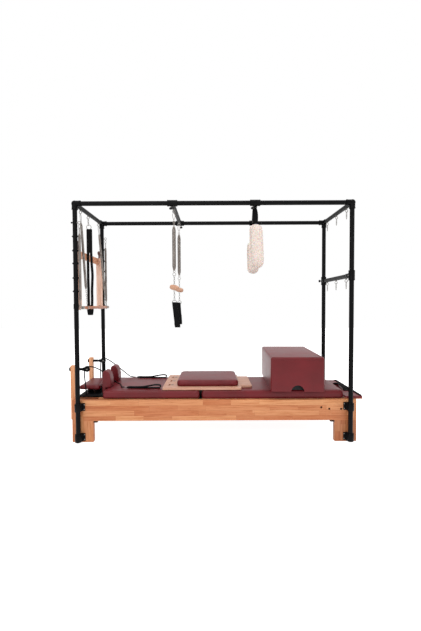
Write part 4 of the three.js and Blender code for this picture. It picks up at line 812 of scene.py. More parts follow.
for side, direction in sides:
    hook_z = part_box(f"centre_spring_{side}")[1].z
    x, y = left_x, middle_y + direction * spring_y * mm
    shape = bmesh.new()
    snap_link(shape, Vector((x, y, hook_z + 3 * mm)), Vector((x, y, hook_z - 52 * mm)))
    wire_ring(shape, 9 * mm, 2 * mm, Matrix.Translation((x, y, hook_z - 58 * mm)) @ end_view)
    wire_ring(shape, 8 * mm, 2 * mm, upright((x, y, hook_z - 73 * mm)))
    coil_top = coil_tops[side]
    on_line = Matrix.Translation((x, y, 0))
    close_coil(shape, coil_foot, coil_top, 14.6 * mm, 1.5 * mm, 0.5, on_line, 16, 6)
    chain(shape, (x, y, hook_z - 79 * mm), (x, y, coil_top - 4 * mm))
    wire_ring(shape, 8 * mm, 2 * mm, upright((x, y, 1449 * mm)))
    coil = piece(f"centre_coil_{side}", shape, None, "steel", [spring_steel], f"centre_spring_{side}")
    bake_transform(coil)

    grip_low, grip_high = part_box(f"grip_{side}")
    shape = bmesh.new()
    tilt = Matrix.Rotation(radians(12), 4, "Y") @ Matrix.Rotation(radians(90), 4, "Y")
    turned(shape, grip_profile, Matrix.Translation((x, y, grip_z)) @ tilt, 48)
    turned(shape, ferrule, Matrix.Translation((x, y, grip_z)), 20, 1)
    wire_ring(shape, 13 * mm, 2 * mm, upright((x, y, grip_high.z - 14 * mm)), material=1)
    chain(shape, (x, y, grip_high.z - 26 * mm), (x, y, grip_z + 21 * mm), material=1)
    chain(shape, (x, y, grip_z - 21 * mm), (x, y, grip_low.z + 2 * mm), material=1)
    finishes = [grip_wood, bright_steel]
    piece(f"wooden_grip_{side}", shape, f"grip_{side}", "pale_wood", finishes, f"grip_{side}")

    shape = bmesh.new()
    ring_at = upright((x, y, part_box(f"ankle_strap_{side}")[1].z - 18 * mm))
    wire_ring(shape, 18 * mm, 2.8 * mm, ring_at, material=1)
    lean = direction * 3
    outline = [(0, 1182), (9, 1172), (13 + lean, 1120), (22 + lean, 1060), (29, 1010), (24, 982), (8, 971)]
    outline += [(-8, 971), (-24, 982), (-29, 1010), (-21 + lean, 1060), (-12 + lean, 1120), (-9, 1172)]
    aside, sway, width = strap_leans[side]
    outline = [(aside + sway * (1182 - b) / 210, a, b) for a, b in outline]
    strap_section = [(a * width * mm, b * mm) for a, b in strap_edge + [(-a, -b) for a, b in strap_edge]]
    swept(shape, run_through(in_mm(outline), 5, True), strap_section, (1, 0, 0), True, on_line, swell=nipped)
    pad_section = [(a * 1.1, b * 1.3) for a, b in strap_section]
    swept(shape, run_through(in_mm(outline[3:10]), 6), pad_section, (1, 0, 0), False, on_line)
    for z in (1158, 1150, 1142):
        block(shape, (2 * width * mm, 20 * mm, 1.2 * mm), (x + (aside + 3) * mm, y, z * mm), 0.5 * mm)
    finishes = [webbing, bright_steel]
    piece(f"ankle_webbing_{side}", shape, f"ankle_strap_{side}", "webbing", finishes, f"ankle_strap_{side}")


# Fleece loops on their hangers.
# A thick loop of sheepskin fleece hangs from the right crossbar by a strip of black webbing. The strip is
# wrapped round the tube, spreads into an oval and is hitched through the fleece.
fleece, tree, shader, place = new_finish("sheepskin fleece", 0.95)
curl = mottle(tree, place, 130.0, 6.0, 0.7)
clumps = put(tree, "TexVoronoi", {"Vector": place, "Scale": 75.0, "Randomness": 1.0}).outputs["Distance"]
wool = mixed(tree, eased_share(tree, curl, 0.3, 0.7), colour("#d8c8be"), colour("#e7dbd2"))
# Painted shade: the partings between the clumps of wool are darkened.
shaded_partings = mixed(tree, eased_share(tree, clumps, 0.45, 1.0), wool, colour("#cfbcb1"))
tree.links.new(shaded_partings, shader.inputs["Base Color"])
tuft = reckon(tree, "ADD", reckon(tree, "MULTIPLY", curl, 0.6), reckon(tree, "MULTIPLY", clumps, -0.6))
raised(tree, shader, tuft, 2.5 * mm, 0.5)
shader.inputs["Sheen Weight"].default_value = 0.4
shader.inputs["Sheen Roughness"].default_value = 0.6
shader.inputs["Subsurface Weight"].default_value = 0.15

right_across = (Vector(right_ends[1]) - Vector(right_ends[0])).normalized()
loop_foot = 1468 * mm
loop_leans = {"front": (1846, 6, 14), "rear": (1796, -12, 6)}
hanger_band = in_mm([(-21, -1.6), (21, -1.6), (21, 1.6), (-21, 1.6)])


def puffed(angle):
    """A point on the section of the fleece: an oval that is fuller at its edges than an ellipse."""
    return 49 * cos(angle) * abs(cos(angle)) ** -0.35 * mm, 17.5 * sin(angle) * mm


def gathered(share):
    """The width of a hanger's strand, from the tube to the fleece."""
    return 0.62 + 0.46 * sin(pi * min(1, share * 1.15))


for side, direction in sides:
    along_bar = (direction * 288 * mm + post_y) / right_across.y
    at = Vector(right_ends[0]) + right_across * along_bar
    turn = Matrix.Rotation(-right_across.to_2d().angle_signed(Vector((0, 1))), 4, "Z")
    place = Matrix.Translation((at.x, at.y, 0)) @ turn
    top_height, aside, lean = loop_leans[side]
    top = top_height * mm
    shape = bmesh.new()
    head = top / mm - 24
    one_side = [(20, head - 10), (34, head - 42), (38, 1700), (40, 1600), (38, 1530), (24, 1500)]
    outline = [(0, head), *one_side, (0, 1488), *((-a, b) for a, b in reversed(one_side))]
    path = run_through([(0, a * mm, b * mm) for a, b in outline], 14, closed=True)
    swept(shape, path, [puffed(tau * (i + 0.5) / 48) for i in range(48)], (1, 0, 0), True)
    bmesh.ops.recalc_face_normals(shape, faces=shape.faces)
    shape.normal_update()
    for vert in shape.verts:
        spot = vert.co * 60 + Vector((7 * direction, 0, 0))
        lift = noise.noise(spot) * 2.2 + noise.noise(spot * 2.7) * 1.6
        vert.co += vert.normal * lift * mm
        level = (vert.co.z - loop_foot) / (top - loop_foot)
        vert.co.x *= max(0.5, 1 - abs(2 * level - 1) ** 13) ** 0.7
        vert.co.x += (aside + lean * (1 - level)) * mm
    bmesh.ops.transform(shape, matrix=place, verts=shape.verts)
    body = f"fleece_loop_{side}"
    piece(f"fleece_{side}", shape, body, "fleece", [fleece], body, sharp=180)
    shape = bmesh.new()
    around_tube = [tau * i / 24 for i in range(24)]
    wrap = [Vector((0, 22 * sin(a) * mm, canopy_z + 22 * cos(a) * mm)) for a in around_tube]
    swept(shape, wrap, [(a * 0.62, b) for a, b in hanger_band], (1, 0, 0), True, place)
    for hand in (-1, 1):
        strand = [(0, hand * 4, 1975), (0, hand * 5, 1955), (2, hand * 8, 1915), (3, hand * 8, 1870)]
        strand = run_through(in_mm(strand + [(4, hand * 5, head + 20), (5, hand * 3, head)]), 6)
        swept(shape, strand, hanger_band, (1, 0, 0), False, place, swell=gathered)
    block(shape, (30 * mm, 15 * mm, 12 * mm), place @ Vector((0, 0, 1968 * mm)), 3 * mm, 3)
    piece(f"fleece_hanger_{side}", shape, body, "webbing", [webbing])


# Push-through bar.
# Two flat arms and a wide top rail of pale hardwood, screwed and glued, swing on a pin at each head post. A
# dark stained knob stands on each arm for the springs to hook on.
standing_grain = (0, radians(90), 0)
# Painted highlight: the arms are the same hardwood as the top rail, painted much paler where the light falls
# on them.
push_arm_highlight_wood = timber_finish("push bar timber", "#f4d6c6", "#ecc5b0", standing_grain, (1.2, 0.12), 0.6)
push_rail_wood = timber_finish("push rail timber", "#dba384", "#c98a6a", across_grain, (0.5, 0.1))
dark_knob, tree, shader, place = new_finish("dark stained knob", 0.4)
stain = mottle(tree, stretched(tree, place, (300, 300, 40)), 1.0, 4.0)
tinted(tree, shader, stain, "#3d1d15", "#5c3024")
raised(tree, shader, stain, 0.1 * mm)

pivot_x = head_x - 10 * mm
arm_top = 1632 * mm
half, ease = 29.5 * mm, 14 * mm
shape = bmesh.new()
arm = [(half * cos(radians(a)), half * sin(radians(a))) for a in range(180, 361, 12)]
height = arm_top - pivot_z
for centre_x, angles in ((half - ease, range(0, 91, 15)), (ease - half, range(90, 181, 15))):
    arm += [(centre_x + ease * cos(radians(a)), height - ease + ease * sin(radians(a))) for a in angles]
knob = in_mm([(0, 0), (11, 0), (11, 2), (9, 5), (8, 16), (9, 30), (13, 39), (16, 47), (17, 55), (16, 63)])
knob += in_mm([(12, 70), (6, 73), (0, 73)])
for direction in (-1, 1):
    arm_y = middle_y + direction * 300 * mm
    slab(shape, arm, 22 * mm, upright((pivot_x, arm_y, pivot_z)), 4 * mm)
    turned(shape, knob, Matrix.Translation((pivot_x, arm_y, arm_top - 1 * mm)), 32, 2)
    for spot in (-24, -50):
        screw_at = (pivot_x - 4 * mm, arm_y + direction * 11 * mm, arm_top + spot * mm)
        turned(shape, screw_profile, pointing(screw_at, (0, direction, 0)), 16, 3)
rail_middle = (pivot_x - half + 1 * mm + 11 * mm, middle_y, arm_top - 31 * mm)
block(shape, (22 * mm, 602 * mm, 62 * mm), rail_middle, 4 * mm, 3, material=1)
push_finishes = [push_arm_highlight_wood, push_rail_wood, dark_knob, bright_steel]
piece("push_bar_frame", shape, "push_through_bar", "pale_wood", push_finishes, "push_through_bar")


# Safety strap.
# Black webbing folded double, held by a ring and a chain from the head crossbar. Its two strands wave apart
# on the way down and are sewn together again over the padded foot of the strap.
strap_x, strap_y = head_x + 8.5 * mm, middle_y - 45 * mm
strap_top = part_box("safety_strap")[1].z
shape = bmesh.new()
chain(shape, (head_x, strap_y, strap_top + 2 * mm), (head_x + 2 * mm, strap_y, 1890 * mm), material=1)
wire_ring(shape, 21 * mm, 2.8 * mm, upright((head_x + 5 * mm, strap_y, 1872 * mm)), material=1)


def strap_band(points, width, thick, steps):
    """A length of webbing through points that are given from the strap's own line, in millimetres."""
    course = run_through([(strap_x + a * mm, strap_y + b * mm, c * mm) for a, b, c in points], steps)
    across, deep = width * mm / 2, thick * mm / 2
    section = [(-across, -deep), (across, -deep), (across, deep), (-across, deep)]
    swept(shape, course, section, (1, 0, 0), False)


strap_band([(0, 0, 1850), (0, 1, 1800), (0, 0, 1700), (0, 0, 1640)], 50, 9, 5)
strap_band([(0, -3, 1842), (0, -4, 1850), (0, 0, 1855), (0, 4, 1850), (0, 3, 1842)], 46, 3, 5)
left_strand = [(-12, -3, 1652), (-13, -5, 1600), (-14, -4, 1500), (-14, -5, 1400), (-13, -3, 1300)]
strap_band(left_strand + [(-13, -5, 1220), (-12, -3, 1140)], 24, 3.4, 8)
right_strand = [(13, 3, 1652), (14, 5, 1600), (17, 4, 1530), (22, 5, 1440), (20, 3, 1370)]
strap_band(right_strand + [(16, 5, 1290), (17, 3, 1220), (14, 4, 1140)], 23, 3.4, 8)
pad = [(-22, -22), (-19, -25.5), (19, -25.5), (22, -22), (28, 12), (28, 54), (24, 66), (-24, 66)]
pad += [(-28, 54), (-28, 12)]
slab(shape, in_mm(pad), 18 * mm, upright((strap_x, strap_y, 1096 * mm)), 4 * mm)
piece("safety_strap_webbing", shape, "safety_strap", "webbing", [webbing, bright_steel], "safety_strap")


# Roll-down bar with its two slanting springs, and the straight springs on the posts.
# A dowel with metal collars hangs on two long close-wound springs from the head crossbar, hooked on by short
# chains. A third and a fourth spring hang free from an eye on each head post, each ending in a snap hook.
dowel_wood = timber_finish("dowel timber", "#c08468", "#a86e52", across_grain, (2.0, 0.3), 0.5)
low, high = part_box("roll_down_bar")
bar_at = (low + high) / 2
bar_turn = Matrix.Rotation(radians(-2.3), 4, "Z")
bar_place = Matrix.Translation(bar_at) @ bar_turn @ Matrix.Rotation(radians(-90), 4, "X")
hang_points = {"front": -240, "rear": 255}
shape = bmesh.new()
dowel = in_mm([(0, -340), (11, -340), (13, -337), (13, 307), (11, 310), (0, 310)])
turned(shape, dowel, bar_place, 40)
cap = [(13.4, 0), (13.4, 19), (10, 19.5), (4, 19.5), (0, 19.5)]
for cap_at, way in ((292, 1), (-322, -1)):
    turned(shape, in_mm((r, cap_at + way * h) for r, h in cap), bar_place, 32, 1)
band = [(13, -8), (15, -8), (15.5, -7), (15.5, 7), (15, 8), (13, 8)]
for y in hang_points.values():
    turned(shape, in_mm((r, h + y) for r, h in band), bar_place, 32, 1)
piece("roll_down_dowel", shape, "roll_down_bar", "pale_wood", [dowel_wood, bright_steel], "roll_down_bar")

spring_finishes = [spring_steel, bright_steel]
for side, y in hang_points.items():
    top = Vector((head_x, middle_y + y * mm, 1943.5 * mm))
    band_at = bar_at + bar_turn @ Vector((0, y * mm, 0))
    foot = Vector((band_at.x, middle_y + y * mm, band_at.z + 15.8 * mm))
    length = (top - foot).length
    place = pointing(foot, top - foot)
    shape = bmesh.new()
    close_coil(shape, length * 0.185, length * 0.9, 9.6 * mm, 1.2 * mm, 0.45, place)
    chain(shape, foot, foot + (top - foot) * 0.165, 20 * mm, 1.5 * mm, 1)
    ring_at = place @ upright((0, 0, length * 0.175))
    wire_ring(shape, 8 * mm, 1.6 * mm, ring_at, material=1)
    snap_link(shape, top, foot + (top - foot) * 0.9, 1)
    coil = piece(f"slant_coil_{side}", shape, None, "steel", spring_finishes, f"slant_spring_{side}")
    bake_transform(coil)

for side, direction in sides:
    low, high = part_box(f"post_spring_{side}")
    x, y = head_x + 35 * mm, middle_y + direction * post_y
    shape = bmesh.new()
    on_line = Matrix.Translation((x, y, 0))
    close_coil(shape, 1196 * mm, 1752 * mm, 10 * mm, 1.2 * mm, 0.45, on_line)
    snap_link(shape, Vector((x, y, high.z)), Vector((x, y, 1790 * mm)), 1)
    chain(shape, (x, y, 1794 * mm), (x, y, 1750 * mm), material=1)
    chain(shape, (x, y, 1198 * mm), (x, y, 1160 * mm), material=1)
    snap_link(shape, Vector((x, y, 1164 * mm)), Vector((x, y, low.z)), 1)
    body = f"post_spring_{side}"
    piece(f"post_coil_{side}", shape, body, "steel", spring_finishes, body)


# Risers with their pulley blocks and sheaves.
# A wooden riser slides in cleats on the head end board. A bolt through its top carries the pulley: two cheek
# plates round a grooved sheave on its axle, locked from outside by a star knob.
riser_wood = timber_finish("riser timber", "#ecb287", "#dc9a6c", standing_grain, (0.9, 0.05))
flange = [(4.4, -6), (8, -6), (9, -4.4), (15, -4.4), (19, -5.4), (23, -6), (24, -5.2)]
flange += [(20.5, -2.4), (16.4, -1.2)]
groove = in_mm(flange + [(16, 0)] + [(r, -h) for r, h in reversed(flange)] + [flange[0]])
bridge = -45 * mm
cheek = [(bridge, -11 * mm)]
cheek += [(21 * mm * cos(radians(a)), 21 * mm * sin(radians(a))) for a in range(-90, 91, 12)]
cheek += [(bridge, 11 * mm)]
bolt = in_mm([(0, 12.8), (5, 12.8), (6, 12), (6, 9.8), (9, 9.8), (9, 9.4), (0, 9.4)])
pin = in_mm([(0, -10), (3.9, -10), (3.9, 10), (0, 10)])
spacer = in_mm([(0, 0), (11.4, 0), (12, 0.8), (12, 46), (10, 52), (10, 58), (0, 58)])
swivel = in_mm([(0, 0), (5, 0), (5, 60), (0, 60)])
for side, direction in sides:
    low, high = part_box(f"riser_{side}")
    shape = bmesh.new()
    block(shape, (high.x - low.x, high.y - low.y, high.z - low.z), (low + high) / 2, 4 * mm, 3)
    piece(f"riser_post_{side}", shape, f"riser_{side}", "wood", [riser_wood], f"riser_{side}")

    sheave_low, sheave_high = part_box(f"pulley_sheave_{side}")
    axle = (sheave_low + sheave_high) / 2
    shape = bmesh.new()
    turned(shape, groove, upright(axle), 40)
    body = f"pulley_sheave_{side}"
    piece(f"sheave_{side}", shape, body, "black_plastic", [black_plastic], body)

    shape = bmesh.new()
    for hand in (-1, 1):
        slab(shape, cheek, 3 * mm, upright(axle + Vector((0, hand * 8.5 * mm, 0))), 0.8 * mm, 2)
        turned(shape, bolt, pointing(axle, (0, hand, 0)), 16, 1)
    turned(shape, pin, upright(axle), 16, 1)
    block(shape, (14 * mm, 19 * mm, 21 * mm), axle + Vector((bridge + 7 * mm, 0, 0)), 1.5 * mm)
    turned(shape, spacer, pointing((high.x + 0.3 * mm, axle.y, axle.z), (1, 0, 0)), 24)
    turned(shape, swivel, pointing((low.x - 4 * mm, axle.y, axle.z), (1, 0, 0)), 16, 1)
    star_knob(shape, (low.x - 0.3 * mm, axle.y, axle.z), (-1, 0, 0), lobes=2, wing=1.5)
    body = f"pulley_block_{side}"
    piece(f"pulley_{side}", shape, body, "black_metal", [black_coat, bright_steel], body)


# Ropes.
# A braided black rope runs with some slack from its cleat on the carriage up over the sheave, and down to the
# clip of the handle loop. It is made as five separate stretches.
rope_finish, tree, shader, place = new_finish("braided rope", 0.75, specular=0.1)
braid = []
for turn in (40, -40):
    slant = (radians(turn), radians(turn), 0)
    slanted = put(tree, "Mapping", {"Vector": place, "Rotation": slant}).outputs[0]
    braid.append(put(tree, "TexWave", {"Vector": slanted, "Scale": 150.0, "Distortion": 2.0}).outputs["Fac"])
strands = reckon(tree, "MULTIPLY", braid[0], braid[1])
tinted(tree, shader, strands, "#050506", "#131315")
raised(tree, shader, strands, 0.4 * mm)

rope_routes = {
    "front": [
        (-1125, -212, 394.3), (-1125, -213, 420), (-1127, -222, 480), (-1129, -234, 560),
        (-1125.9, -238, 606), (-1120, -238, 623.5), (-1103, -238, 628.9), (-1086, -237, 628),
        (-1060, -205, 618), (-1030, -140, 586), (-1006, -86, 550), (-975, -46, 510),
        (-935, -25, 466), (-900, -18, 437.8), (-868, -46, 433.8), (-842, -110, 433.8),
        (-822, -170, 435.8), (-806, -206, 441.3), (-796.3, -212, 441.3), (-788.3, -212, 441.3),
    ],
    "rear": [
        (-1125, 212, 394.3), (-1125, 213, 420), (-1128, 222, 480), (-1130, 234, 560),
        (-1125.9, 238, 606), (-1120, 238, 623.5), (-1103, 238, 628.9), (-1085, 239, 628),
        (-1040, 247, 604), (-990, 252, 566), (-930, 252, 518), (-880, 248, 478),
        (-836, 240, 447.8), (-808, 236.5, 442.3), (-796.3, 236, 441.3), (-788.3, 236, 441.3),
    ],
}
row_offset = Vector((-0.85 * mm, -24 * mm, 0))
rope_size = 10 * mm
rise_cuts, fall_cuts = (459, 575), (588, 512)
for side, points in rope_routes.items():
    route = run_through([Vector(point) * mm + row_offset for point in points], 8)
    crest = max(range(len(route)), key=lambda i: route[i].z)
    rise = [min(range(crest), key=lambda i: abs(route[i].z - z * mm)) for z in rise_cuts]
    fall = [min(range(crest, len(route)), key=lambda i: abs(route[i].z - z * mm)) for z in fall_cuts]
    stretches = (
        ("tail", 0, rise[0], "base", "carriage", (452, 405)),
        ("rise", rise[0], rise[1], "base", f"riser_{side}", (462, 570)),
        ("crest", rise[1], fall[0], f"riser_{side}", f"pulley_block_{side}", (588, 616)),
        ("fall", fall[0], fall[1], f"riser_{side}", "base", (584, 516)),
        ("lead", fall[1], len(route) - 1, "base", "carriage", (506, 446)),
    )
    for part_name, first, last, near_body, far_body, heights in stretches:
        course = route[first : last + 1]
        shape = bmesh.new()
        swept(shape, course, round_section(rope_size / 2, 12))
        name = f"rope_{part_name}_{side}"
        rope = piece(name, shape, None, "webbing", [rope_finish], f"rope_{side}", sharp=80)
        length = sum((b - a).length for a, b in zip(course, course[1:]))
        line = [tuple(point) for point in course]
        tuple(course[0])
        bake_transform(rope)


# Handle loops at the ends of the ropes.
# A loop of black webbing on its edge, doubled over at the clip and spread where the hand goes. It is sewn to
# a steel snap clip that the rope is tied to.
loop_line = [(6, 10), (20, 7), (60, 5), (140, 4.6), (220, 4.8), (270, 5.2), (294, 9), (300, 18), (294, 27)]
loop_line += [(270, 31), (240, 29), (200, 22), (150, 14.5), (80, 12.5), (20, 13)]
loop_band = in_mm([(-14, -2.8), (-12, -4), (12, -4), (14, -2.8), (14, 2.8), (12, 4), (-12, 4), (-14, 2.8)])
cuff = [(18 * cos(tau * i / 16) * mm, 6.4 * sin(tau * i / 16) * mm) for i in range(16)]
clip = in_mm([(0, -18), (3, -18), (5, -14), (5, -8), (3, -6), (3, 0), (4.4, 2), (4.4, 8), (0, 8)])
for side, direction in sides:
    low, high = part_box(f"rope_handle_{side}")
    loop_y = (low.y + high.y) / 2
    start_x = high.x - 306 * mm
    shape = bmesh.new()
    line = [(start_x + a * mm, loop_y, low.z + b * mm) for a, b in loop_line]
    swept(shape, run_through(line, 6, closed=True), loop_band, (0, 1, 0), True)
    swept(shape, run_through(line[8:13], 8), cuff, (0, 1, 0), False)
    block(shape, (24 * mm, 31 * mm, 9 * mm), (start_x + 24 * mm, loop_y, low.z + 11 * mm), 2 * mm)
    turned(shape, clip, pointing((start_x, loop_y, low.z + 11 * mm), (1, 0, 0)), 20, 1)
    finishes = [webbing, bright_steel]
    piece(f"handle_loop_{side}", shape, "carriage", "webbing", finishes, f"rope_handle_{side}")


# Carriage board, its head board, props and cleats.
# Birch plywood boards under the carriage mat, with turned black cleats for the ropes, wooden props under the
# headrest and hanger blocks for the axles.
low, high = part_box("carriage_board")
shape = bmesh.new()
board_x = (-1000 * mm + row_offset.x, -135 * mm + row_offset.x)
board_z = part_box("carriage_mat")[0].z - 10.2 * mm
block(shape, (board_x[1] - board_x[0], 540 * mm, 19.6 * mm), (sum(board_x) / 2, middle_y, board_z), 2 * mm)
head_board_x = (low.x, -951 * mm + row_offset.x)
head_board = (head_board_x[1] - head_board_x[0], 500 * mm, 18 * mm)
# Painted shade: the head board takes the black coat, which darkens the room under the headrest along with the
# dark cleats and ropes there.
block(shape, head_board, (sum(head_board_x) / 2, middle_y, 371 * mm), 3 * mm, material=1)
buffer_at = (board_x[1] + 15 * mm, middle_y, board_z - 1.3 * mm)
block(shape, (32 * mm, 580 * mm, 11 * mm), buffer_at, 2 * mm, material=1)
rope_cleat = in_mm([(0, -1), (10, -1), (10, 1), (5.4, 2.5), (5.4, 9), (7, 11), (7, 13), (6, 14), (0, 14)])
prop_z = (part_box("headrest")[0].z + 380 * mm) / 2
for direction in (-1, 1):
    prop_at = (-1120 * mm + row_offset.x, middle_y + direction * 100 * mm, prop_z)
    # Painted shade: the wooden props under the headrest take the black coat too.
    block(shape, (36 * mm, 44 * mm, 31 * mm), prop_at, 2 * mm, material=1)
    cleat_at = (-1125 * mm + row_offset.x, middle_y + direction * 212 * mm, 380 * mm)
    turned(shape, rope_cleat, Matrix.Translation(cleat_at), 24, 1)
    for x in (-900, -230):
        hanger_at = (x * mm + row_offset.x, middle_y + direction * 244 * mm, (299.3 + 342) / 2 * mm)
        block(shape, (34 * mm, 16 * mm, 43 * mm), hanger_at, 2 * mm, material=1)
board_wood = timber_finish("carriage boards", "#cf9168", "#bd7a50", stave=(0.5, 0.06))
piece("carriage_boards", shape, "carriage", "wood", [board_wood, black_coat], "carriage_board")

flank = [(6, -9), (12, -9), (13, -7), (19, -7), (21, -9), (24, -9), (25, -7.5)]
tyre = in_mm(flank + [(r, -h) for r, h in reversed(flank)])
for end in ("head", "foot"):
    low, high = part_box(f"wheelset_{end}")
    axle = (low + high) / 2
    shape = bmesh.new()
    rod = [(0, low.y - axle.y), (6 * mm, low.y - axle.y), (6 * mm, high.y - axle.y), (0, high.y - axle.y)]
    turned(shape, rod, pointing(axle, (0, 1, 0)), 20, 1)
    for direction in (-1, 1):
        wheel_at = axle + Vector((0, direction * 278 * mm, 0))
        turned(shape, tyre, pointing(wheel_at, (0, 1, 0)), 40)
    body = f"wheelset_{end}"
    piece(f"wheel_pair_{end}", shape, body, "black_plastic", [black_plastic, bright_steel], body)


# Mats, headrest, jump pad and foot platform.
# Foam on a board under maroon vinyl, pulled round the corners and stapled beneath. The sides draw in at the
# lower edge and under the top seam, and the top is slightly crowned.
leather, taken, given = effect("vinyl grain", {"Vector": None, "Scale": 620.0}, ["Height", "Tone"])
pebble = {"Vector": taken.outputs["Vector"], "Scale": taken.outputs["Scale"]}
cells = put(leather, "TexVoronoi", pebble, feature="F1")
fine = mottle(leather, taken.outputs["Vector"], 1800.0, 2.0)
soft = mottle(leather, taken.outputs["Vector"], 5.0, 3.0)
height = reckon(leather, "MULTIPLY_ADD", cells.outputs["Distance"], -0.8, fine)
leather.links.new(height, given.inputs["Height"])
leather.links.new(soft, given.inputs["Tone"])


def vinyl_finish(name, deep, light):
    material, tree, shader, place = new_finish(name, 0.4, specular=0.3)
    grain = put(tree, "Group", {"Vector": place, "Scale": 620.0}, node_tree=leather)
    share = eased_share(tree, grain.outputs["Tone"], 0.3, 0.72)
    tinted(tree, shader, share, deep, light)
    roughened(tree, shader, grain.outputs["Tone"], 0.16, 0.32)
    raised(tree, shader, grain.outputs["Height"], 0.1 * mm, 0.4)
    shader.inputs["Sheen Weight"].default_value = 0.06
    shader.inputs["Sheen Roughness"].default_value = 0.25
    shader.inputs["Sheen Tint"].default_value = colour("#f0dde0")
    return material


vinyl = vinyl_finish("maroon vinyl", "#5a0810", "#681019")


def stuffed(made, voxel, cap, pressure=4.0):
    """Fills a cushion: an even skin, blown up as cloth, on which no point moves further than the cap."""
    even = made.modifiers.new("even", "REMESH")
    even.mode = "VOXEL"
    even.voxel_size = voxel
    bpy.context.view_layer.update()
    skin = bpy.data.meshes.new_from_object(made.evaluated_get(bpy.context.evaluated_depsgraph_get()))
    made.modifiers.clear()
    for material in made.data.materials:
        if material.name not in skin.materials:
            skin.materials.append(material)
    made.data = skin
    rest = [vert.co.copy() for vert in skin.vertices]
    foot = min(co.z for co in rest)
    cloth = made.modifiers.new("foam", "CLOTH")
    cloth.settings.use_pressure = True
    cloth.settings.uniform_pressure_force = pressure
    cloth.settings.effector_weights.gravity = 0
    cloth.settings.quality = 3
    cloth.point_cache.frame_start = 1
    cloth.point_cache.frame_end = 20
    for step in range(1, 21):
        bpy.context.scene.frame_set(step)
    blown = made.evaluated_get(bpy.context.evaluated_depsgraph_get()).to_mesh()
    moved = [vert.co.copy() for vert in blown.vertices]
    made.modifiers.clear()
    bpy.context.scene.frame_set(1)
    for vert, start, end in zip(skin.vertices, rest, moved):
        push = end - start
        if push.length > cap:
            push *= cap / push.length
        if start.z - foot < 4 * mm:
            push.z = max(push.z, 0.0)
        vert.co = start + push
    skin.shade_smooth()


def cushion_form(shape, size, corner, crown, tuck, place):
    """A crowned pad on Z = 0 with its sides drawn in at the foot and under the top seam."""
    length, width, tall = size
    rim = tall - crown
    narrow = min(length, width) / 2
    levels = [(3 * tuck, 0.4 * mm), (tuck, 0), (tuck * 0.35, rim * 0.08), (0, rim * 0.34)]
    for draw, rise in ((0.1, 0.58), (0.45, 0.78), (1.0, 0.9), (1.7, 0.97), (2.8, 1)):
        levels.append((draw * tuck, rim * rise))
    for spread in (0.08, 0.16, 0.27, 0.42, 0.6, 0.85):
        inset = 2.8 * tuck + spread * (narrow - 2.8 * tuck)
        levels.append((inset, rim + crown * (1 - (1 - spread) ** 2.4)))
    rings = []
    for inset, z in levels:
        radius = max(corner - inset * 0.6, 4 * mm)
        ring = rounded(length - 2 * inset, width - 2 * inset, min(radius, narrow - inset - 1 * mm), 7)
        rings.append([(x, y, z) for x, y in ring])
    lofted(shape, rings, False, place)


def pad_piece(name, node, body, corner, crown, tuck, fill, voxel, cap, ends, tall=None):
    """A stuffed pad over its CAD node's room, longer than that by its ends."""
    low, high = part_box(node)
    low.x -= ends[0]
    high.x += ends[1]
    shape = bmesh.new()
    shrink = cap * 0.5
    tall = tall or high.z - low.z
    dims = (high.x - low.x - 2 * shrink, high.y - low.y - 2 * shrink, tall - shrink)
    place = Matrix.Translation(((low.x + high.x) / 2, (low.y + high.y) / 2, low.z))
    cushion_form(shape, dims, corner, crown, tuck, place)
    made = piece(name, shape, body, "vinyl", [vinyl], node, sharp=60)
    stuffed(made, voxel, cap)


mat = {"corner": 20 * mm, "crown": 3 * mm, "tuck": 4 * mm, "fill": 0.85, "voxel": 6 * mm, "cap": 3 * mm}
pad_piece("carriage_cushion", "carriage_mat", "carriage", ends=(12 * mm, 0), **mat)
pad_piece("insert_cushion", "insert_mat", "insert_mat", ends=(0, 10 * mm), **mat)
pad = {"corner": 44 * mm, "crown": 5 * mm, "tuck": 6 * mm, "fill": 0.8, "voxel": 5 * mm, "cap": 4 * mm}
pad_piece("jump_cushion", "jump_pad", "jump_board", ends=(13 * mm, 12 * mm), **pad)
pad.update(corner=24 * mm, crown=6 * mm, tuck=5 * mm, cap=3 * mm)
pad_piece("head_cushion", "headrest", "headrest", ends=(14 * mm, 0), tall=42 * mm, **pad)

low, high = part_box("foot_platform")
platform = high - low
middle = (low + high) / 2
shape = bmesh.new()
platform_board = (platform.x - 6 * mm, platform.y - 6 * mm, 11 * mm)
block(shape, platform_board, (middle.x, middle.y, low.z + 5.6 * mm), 2 * mm)
# Painted shade: the board is a darker brown than the frame's wood, standing in for the shade on its front
# edge under the pad.
shaded_platform_wood = timber_finish("platform board", "#b87350", "#a35f3e", across_grain, (0.5, 0.06))
piece("foot_platform_board", shape, "base", "wood", [shaded_platform_wood], "foot_platform")
shape = bmesh.new()
platform_top = Matrix.Translation((middle.x, middle.y, low.z + 9 * mm))
pad_size = (platform.x, platform.y, platform.z - 9 * mm)
cushion_form(shape, pad_size, 16 * mm, 2 * mm, 2.4 * mm, platform_top)
platform_pad = piece("foot_platform_pad", shape, "base", "vinyl", [vinyl], "foot_platform", sharp=60)


